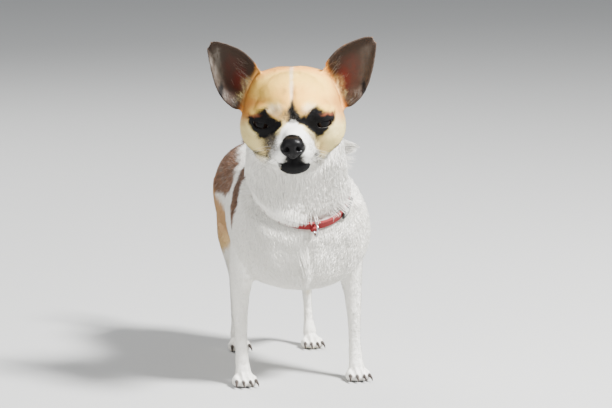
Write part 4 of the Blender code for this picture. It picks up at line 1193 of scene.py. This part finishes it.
eyeLook = {
    "rings": 64, "around": 72,
    "bulge": 0.0009, "bulgeArc": 5.2,  # the clear front's height in metres and half width in millimetres
    "iris": 6.4, "pupil": 3.2,  # half widths along the ball, in millimetres
}


def eyeMaterial(label):
    mat, tree, shader = newMaterial("eye" + label, 0.04, 0.1)
    tree.links.new(inkFrom(tree, "iris"), shader.inputs["Base Color"])
    return mat


def makeEye(side, label):
    place = eyeFrame(side)
    rings, around = eyeLook["rings"], eyeLook["around"]
    points = [(0, -1, 0)]
    for i in range(1, rings):
        a = math.pi * i / rings
        for k in range(around):
            b = 2 * math.pi * k / around
            points.append((math.sin(a) * math.cos(b), -math.cos(a), math.sin(a) * math.sin(b)))
    points.append((0, 1, 0))
    points = np.array(points)
    arc = np.arccos(np.clip(-points[:, 1], -1, 1)) * eyePose["radius"] * 1000
    bulge = np.clip(1 - (arc / eyeLook["bulgeArc"]) ** 2, 0, 1)
    spots = points * (eyePose["radius"] + eyeLook["bulge"] * bulge)[:, None] * 1000
    spots = toWorld(spots, place)
    last = len(points) - 1
    base = last - around
    faces = [(0, 1 + k, 1 + (k + 1) % around) for k in range(around)]
    faces += [(1 + a, 1 + b, 1 + c) for a, b, c in tubeFaces(rings - 1, around, False)]
    faces += [(last, base + (k + 1) % around, base + k) for k in range(around)]
    mesh = meshFrom("eye" + label, spots, np.array(faces))
    outward(mesh)
    spokes = 0.75 + 0.5 * cloud(unit(points) * 40 + 3, 4, 9)
    pupil = 1 - soft(arc, eyeLook["pupil"] - 0.15, eyeLook["pupil"] + 0.15)
    iris = 1 - soft(arc, eyeLook["iris"] - 0.3, eyeLook["iris"] + 0.4)
    c = np.tile(colour(214, 196, 180), (len(points), 1))
    c = c * (1 - iris[:, None]) + colour(24, 15, 12) * spokes[:, None] * iris[:, None]
    rim = np.exp(-(((arc - eyeLook["iris"]) / 0.55) ** 2))
    c = c * (1 - 0.9 * rim[:, None])
    c = c * (1 - pupil[:, None]) + colour(5, 5, 6) * pupil[:, None]
    inkOn(mesh, "iris", np.clip(c, 0, 1))
    mesh.materials.append(eyeMaterial(label))
    obj = objectOf("eye" + label, mesh)
    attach(obj, "root")
    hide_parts("eye_" + label.lower())


makeEye(1, "Left")
makeEye(-1, "Right")
print("eyes done")


noseLook = {"voxel": 0.0004, "swell": 0.0002, "rounds": 6, "pebble": 1500, "roughness": 0.34}


def noseMaterial():
    mat, tree, shader = newMaterial("noseLeather", noseLook["roughness"], 0.1)
    cells = pattern(tree, "ShaderNodeTexVoronoi", noseLook["pebble"])
    bumped(tree, shader, cells.outputs["Distance"], 0.35, 0.0002).invert = True
    ramped(tree, shader, cells.outputs["Distance"], (0.0026, 0.0024, 0.0026), (0.008, 0.0075, 0.0078))
    shader.inputs["Coat Weight"].default_value = 0.03
    shader.inputs["Coat Roughness"].default_value = 0.15
    return mat


def makeNose():
    nose = voxelled(objectOf("nosePad", nodeCopy("nose", noseLook["swell"])), noseLook["voxel"])
    points = meshPoints(nose.data)
    setPoints(nose.data, eased(points, meshEdges(nose.data), len(points), noseLook["rounds"]))
    smoothed(nose.data)
    nose.data.materials.clear()
    nose.data.materials.append(noseMaterial())
    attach(nose, "root")
    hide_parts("nose")
    print("nose done:", len(nose.data.polygons), "faces")


makeNose()


def simpleMaterial(name, tint, rough, metal=0.0, scale=600, depth=0.0001):
    mat, tree, shader = newMaterial(name, rough)
    shader.inputs["Metallic"].default_value = metal
    grain = pattern(tree, "ShaderNodeTexNoise", scale)
    grain.inputs["Detail"].default_value = 4
    ends = ramped(tree, shader, grain.outputs["Fac"], tint * 0.7, np.clip(tint * 1.2, 0, 1))
    ends[0].position, ends[1].position = 0.3, 0.75
    bumped(tree, shader, grain.outputs["Fac"], 0.4, depth)
    return mat


horn = simpleMaterial("clawHorn", colour(58, 48, 42), 0.38, scale=300)
for name in nodes:
    if name.startswith("claw"):
        nodes[name].data.materials.clear()
        nodes[name].data.materials.append(horn)

strapLook = {
    "stations": 1050, "rows": 15, "weave": 0.085, "pitch": 1.5,  # millimetres
    "stitchGap": 2.1, "stitchLong": 0.75, "stitchWide": 0.24, "stitchRow": 2.55,
    "buckleTurns": (-47, -19), "buckleOut": 2.7, "buckleThick": 2.4, "buckleHigh": 8.6,
    "ringTurn": -88, "ringOut": 3.2, "ringRadius": 5.4, "ringWire": 0.85,
    "edge": 0.45,  # how round the webbing's edge is
    "keeperVoxel": 0.0002, "keeperPitch": 0.9, "keeperRib": 0.00006,  # the first and last in metres
}


def sweptStrap(name, turns, away, up, closed):  # a closed profile swept round the collar's oval
    count, k = away.shape
    spot = ovalAt(np.repeat(turns[:, None], k, axis=1), away)
    points = np.concatenate([spot, up[:, :, None]], axis=2).reshape(-1, 3)
    faces = tubeFaces(count, k, closed)
    if not closed:
        last = (count - 1) * k
        for j in range(1, k - 1):
            faces += [(0, j + 1, j), (last, last + j, last + j + 1)]
    mesh = meshFrom(name, toWorld(points, collarFrame), np.array(faces))
    outward(mesh)
    smoothed(mesh)
    return mesh


def placed(name, mesh, mat, node):
    mesh.materials.clear()
    mesh.materials.append(mat)
    obj = objectOf(name, mesh)
    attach(obj, "root")
    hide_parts(node)
    print(name, len(mesh.polygons), "faces")


def makeWebbing():
    half, thick = collarPose["band"] / 2, collarPose["thick"] / 2
    edge = strapLook["edge"]
    rows = np.linspace(-half + edge, half - edge, strapLook["rows"])
    bend = np.radians([20, 45, 70, 90])
    corner = [(thick - edge + edge * math.cos(a), half - edge + edge * math.sin(a)) for a in bend]
    profile = [(thick, r) for r in rows] + corner + [(-x, y) for x, y in reversed(corner)]
    profile += [(-thick, -r) for r in rows[::5]]
    profile += [(-x, -y) for x, y in corner] + [(x, -y) for x, y in reversed(corner)]
    profile = np.array(profile)
    turns = np.linspace(0, 2 * math.pi, strapLook["stations"], endpoint=False)
    around = turns * (collarPose["halfWidth"] + collarPose["halfDepth"]) / 2
    up = np.tile(profile[:, 1], (len(turns), 1))
    away = np.tile(profile[:, 0], (len(turns), 1))
    phase = 2 * math.pi * (around[:, None] + np.abs(up)) / strapLook["pitch"]
    woven = 1 - soft(np.abs(up), half - 0.9, half - 0.3)
    away = away + np.sign(away) * strapLook["weave"] * np.sin(phase) * woven
    mesh = sweptStrap("collarWebbing", turns, away, up, True)
    placed("collarWebbing", mesh, simpleMaterial("collarWeb", colour(124, 2, 8), 0.75, scale=2500), "collar")


def stitchTree():
    tree = bpy.data.node_groups.new("stitchRow", "GeometryNodeTree")
    face = tree.interface
    face.new_socket("Geometry", in_out="INPUT", socket_type="NodeSocketGeometry")
    for label in ("Gap", "Long", "Wide"):
        face.new_socket(label, in_out="INPUT", socket_type="NodeSocketFloat")
    face.new_socket("Thread", in_out="INPUT", socket_type="NodeSocketMaterial")
    face.new_socket("Geometry", in_out="OUTPUT", socket_type="NodeSocketGeometry")
    made = {k: tree.nodes.new(v) for k, v in (
        ("given", "NodeGroupInput"), ("curve", "GeometryNodeMeshToCurve"), ("spread", "GeometryNodeResampleCurve"),
        ("ball", "GeometryNodeMeshUVSphere"), ("size", "ShaderNodeCombineXYZ"), ("shape", "GeometryNodeTransform"),
        ("tangent", "GeometryNodeInputTangent"), ("turn", "FunctionNodeAlignRotationToVector"),
        ("put", "GeometryNodeInstanceOnPoints"), ("real", "GeometryNodeRealizeInstances"),
        ("finish", "GeometryNodeSetMaterial"), ("out", "NodeGroupOutput"),
    )}
    made["spread"].mode = "LENGTH"
    made["turn"].axis = "X"
    made["ball"].inputs["Segments"].default_value = 8
    made["ball"].inputs["Rings"].default_value = 5
    made["ball"].inputs["Radius"].default_value = 1.0
    for a, out, b, into in (
        ("given", "Geometry", "curve", "Mesh"), ("curve", "Curve", "spread", "Curve"),
        ("given", "Gap", "spread", "Length"), ("spread", "Curve", "put", "Points"),
        ("given", "Long", "size", "X"), ("given", "Wide", "size", "Y"),
        ("given", "Wide", "size", "Z"), ("ball", "Mesh", "shape", "Geometry"), ("size", "Vector", "shape", "Scale"),
        ("shape", "Geometry", "put", "Instance"), ("tangent", "Tangent", "turn", "Vector"),
        ("turn", "Rotation", "put", "Rotation"), ("put", "Instances", "real", "Geometry"),
        ("real", "Geometry", "finish", "Geometry"), ("given", "Thread", "finish", "Material"),
        ("finish", "Geometry", "out", "Geometry"),
    ):
        tree.links.new(made[a].outputs[out], made[b].inputs[into])
    return tree


def makeStitches():
    turns = np.linspace(0, 2 * math.pi, 360, endpoint=False)
    mesh = bpy.data.meshes.new("collarStitches")
    points, edges = [], []
    for height in (-strapLook["stitchRow"], strapLook["stitchRow"]):
        spot = ovalAt(turns, np.full(len(turns), collarPose["thick"] / 2 + 0.08))
        ring = toWorld(np.concatenate([spot, np.full((len(turns), 1), height)], axis=1), collarFrame)
        base = len(points)
        points += [tuple(p) for p in ring]
        edges += [(base + i, base + (i + 1) % len(turns)) for i in range(len(turns))]
    mesh.from_pydata(points, edges, [])
    obj = objectOf("collarStitches", mesh)
    thread = simpleMaterial("stitchThread", colour(104, 4, 10), 0.55, scale=4000)
    rows = obj.modifiers.new("rows", "NODES")
    rows.node_group = stitchTree()
    wanted = {
        "Gap": strapLook["stitchGap"] / 1000, "Long": strapLook["stitchLong"] / 1000,
        "Wide": strapLook["stitchWide"] / 1000, "Thread": thread,
    }
    for item in rows.node_group.interface.items_tree:
        if item.in_out == "INPUT" and item.name in wanted:
            rows[item.identifier] = wanted[item.name]
    baked(obj)
    smoothed(obj.data)
    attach(obj, "root")
    print("collarStitches", len(obj.data.polygons), "faces")


def makeBuckle():
    low, high = strapLook["buckleTurns"]
    turns = np.radians(np.linspace(low, high, 90))
    t = np.linspace(0, 1, len(turns))[:, None]
    a = np.radians(np.arange(0, 360, 9))
    flat = np.sign(np.cos(a)) * np.abs(np.cos(a)) ** 0.45 * strapLook["buckleThick"] / 2
    tall = np.sign(np.sin(a)) * np.abs(np.sin(a)) ** 0.45 * strapLook["buckleHigh"] / 2
    ends = 1 - np.clip(np.abs(t - 0.5) * 2 - 0.9, 0, 1) * 3.0
    waist = 1 - 0.13 * np.exp(-(((t - 0.58) / 0.13) ** 2))
    outside = (flat > 0)[None, :]
    seam = 0.32 * np.exp(-(((t - 0.4) / 0.012) ** 2)) + 0.2 * np.exp(-(((t - 0.86) / 0.02) ** 2))
    dome = 0.3 * np.clip(1 - (tall[None, :] / 4.3) ** 2, 0, 1) * np.exp(-(((t - 0.2) / 0.12) ** 2))
    away = strapLook["buckleOut"] + flat[None, :] * ends - outside * (seam - dome)
    up = tall[None, :] * waist * (0.6 + 0.4 * ends)
    mesh = sweptStrap("buckleShell", turns, away, up, False)
    plastic = simpleMaterial("bucklePlastic", colour(20, 20, 22), 0.42, scale=3000)
    placed("buckleShell", mesh, plastic, "buckle")


def makeRing():
    turn = math.radians(strapLook["ringTurn"])
    hang = Vector((collarPose["halfWidth"] * math.cos(turn), -collarPose["halfDepth"] - strapLook["ringOut"], 0)) / 1000
    place = (
        collarFrame @ Matrix.Translation(hang) @ Matrix.Rotation(-math.radians(collarPose["lean"]), 4, "X")
        @ Matrix.Translation((0, -strapLook["ringRadius"] / 1000, 0)) @ Matrix.Rotation(math.radians(90), 4, "Y")
    )
    round1, round2 = 120, 24
    a, b = (np.arange(count) * 2 * math.pi / count for count in (round1, round2))
    a, b = np.meshgrid(a, b, indexing="ij")
    weld = 1 + 0.06 * np.exp(-(((a - 4.2) / 0.09) ** 2))
    wire = strapLook["ringWire"] * weld
    reach = strapLook["ringRadius"] + wire * np.cos(b)
    points = np.stack([reach * np.cos(a), reach * np.sin(a), wire * np.sin(b)], axis=2).reshape(-1, 3)
    faces = np.array(tubeFaces(round1, round2, True))[:, ::-1]
    mesh = meshFrom("leadRing", toWorld(points, place), faces)
    steel = simpleMaterial("ringSteel", colour(196, 196, 198), 0.22, metal=1.0, scale=400)
    placed("leadRing", mesh, steel, "ring")
    keeper = voxelled(objectOf("ringKeeper", nodeCopy("ring_keeper", 0.0001)), strapLook["keeperVoxel"])
    points = eased(meshPoints(keeper.data), meshEdges(keeper.data), len(keeper.data.vertices), 8)
    ribs = np.sin(2 * math.pi * inFrame(points, collarFrame)[:, 2] / strapLook["keeperPitch"])
    setPoints(keeper.data, points + meshNormals(keeper.data) * (ribs * strapLook["keeperRib"])[:, None])
    smoothed(keeper.data)
    mesh = keeper.data
    bpy.data.objects.remove(keeper)
    placed("ringKeeper", mesh, bpy.data.materials["collarWeb"], "ring_keeper")


makeWebbing()
makeStitches()
makeBuckle()
makeRing()


stageLook = {
    "floor": (0.5, 0.5, 0.49, 1), "sky": (0.86, 0.9, 0.95, 1), "skyStrength": 0.42,
    "lights": (  # name, place, watts, and size in metres
        ("keyLight", (1.0, -1.0, 1.8), 240, 0.4),
        ("fillLight", (-1.6, -1.2, 0.7), 22, 1.4),
        ("rimLight", (-0.4, 1.6, 1.4), 26, 1.0),
    ),
}


def makeStage():
    floor = bmesh.new()
    bmesh.ops.create_grid(floor, x_segments=2, y_segments=2, size=6)
    mesh = bpy.data.meshes.new("floor")
    floor.to_mesh(mesh)
    floor.free()
    obj = objectOf("floor", mesh)
    mat, _, shader = newMaterial("paleFloor", 0.85)
    shader.inputs["Base Color"].default_value = stageLook["floor"]
    mesh.materials.append(mat)
    world = bpy.context.scene.world or bpy.data.worlds.new("studio")
    bpy.context.scene.world = world
    world.use_nodes = True
    sky = world.node_tree.nodes["Background"]
    sky.inputs["Color"].default_value = stageLook["sky"]
    sky.inputs["Strength"].default_value = stageLook["skyStrength"]
    for name, place, power, size in stageLook["lights"]:
        lamp = bpy.data.lights.new(name, "AREA")
        lamp.energy = power
        lamp.size = size
        obj = objectOf(name, lamp)
        obj.location = place
        obj.rotation_euler = (Vector((0, 0, 0.15)) - Vector(place)).to_track_quat("-Z", "Y").to_euler()


def makeCamera():
    lens = bpy.data.cameras.new("camera")
    lens.lens = view["lens"]
    lens.sensor_width = 36
    lens.clip_end = 50
    obj = objectOf("camera", lens)
    a, e = math.radians(view["azimuth"]), math.radians(view["elevation"])
    back = Vector((math.sin(a) * math.cos(e), -math.cos(a) * math.cos(e), math.sin(e)))
    obj.location = Vector(view["target"]) + shift + back * view["distance"]
    obj.rotation_euler = back.to_track_quat("Z", "Y").to_euler()
    bpy.context.scene.camera = obj


makeStage()
makeCamera()
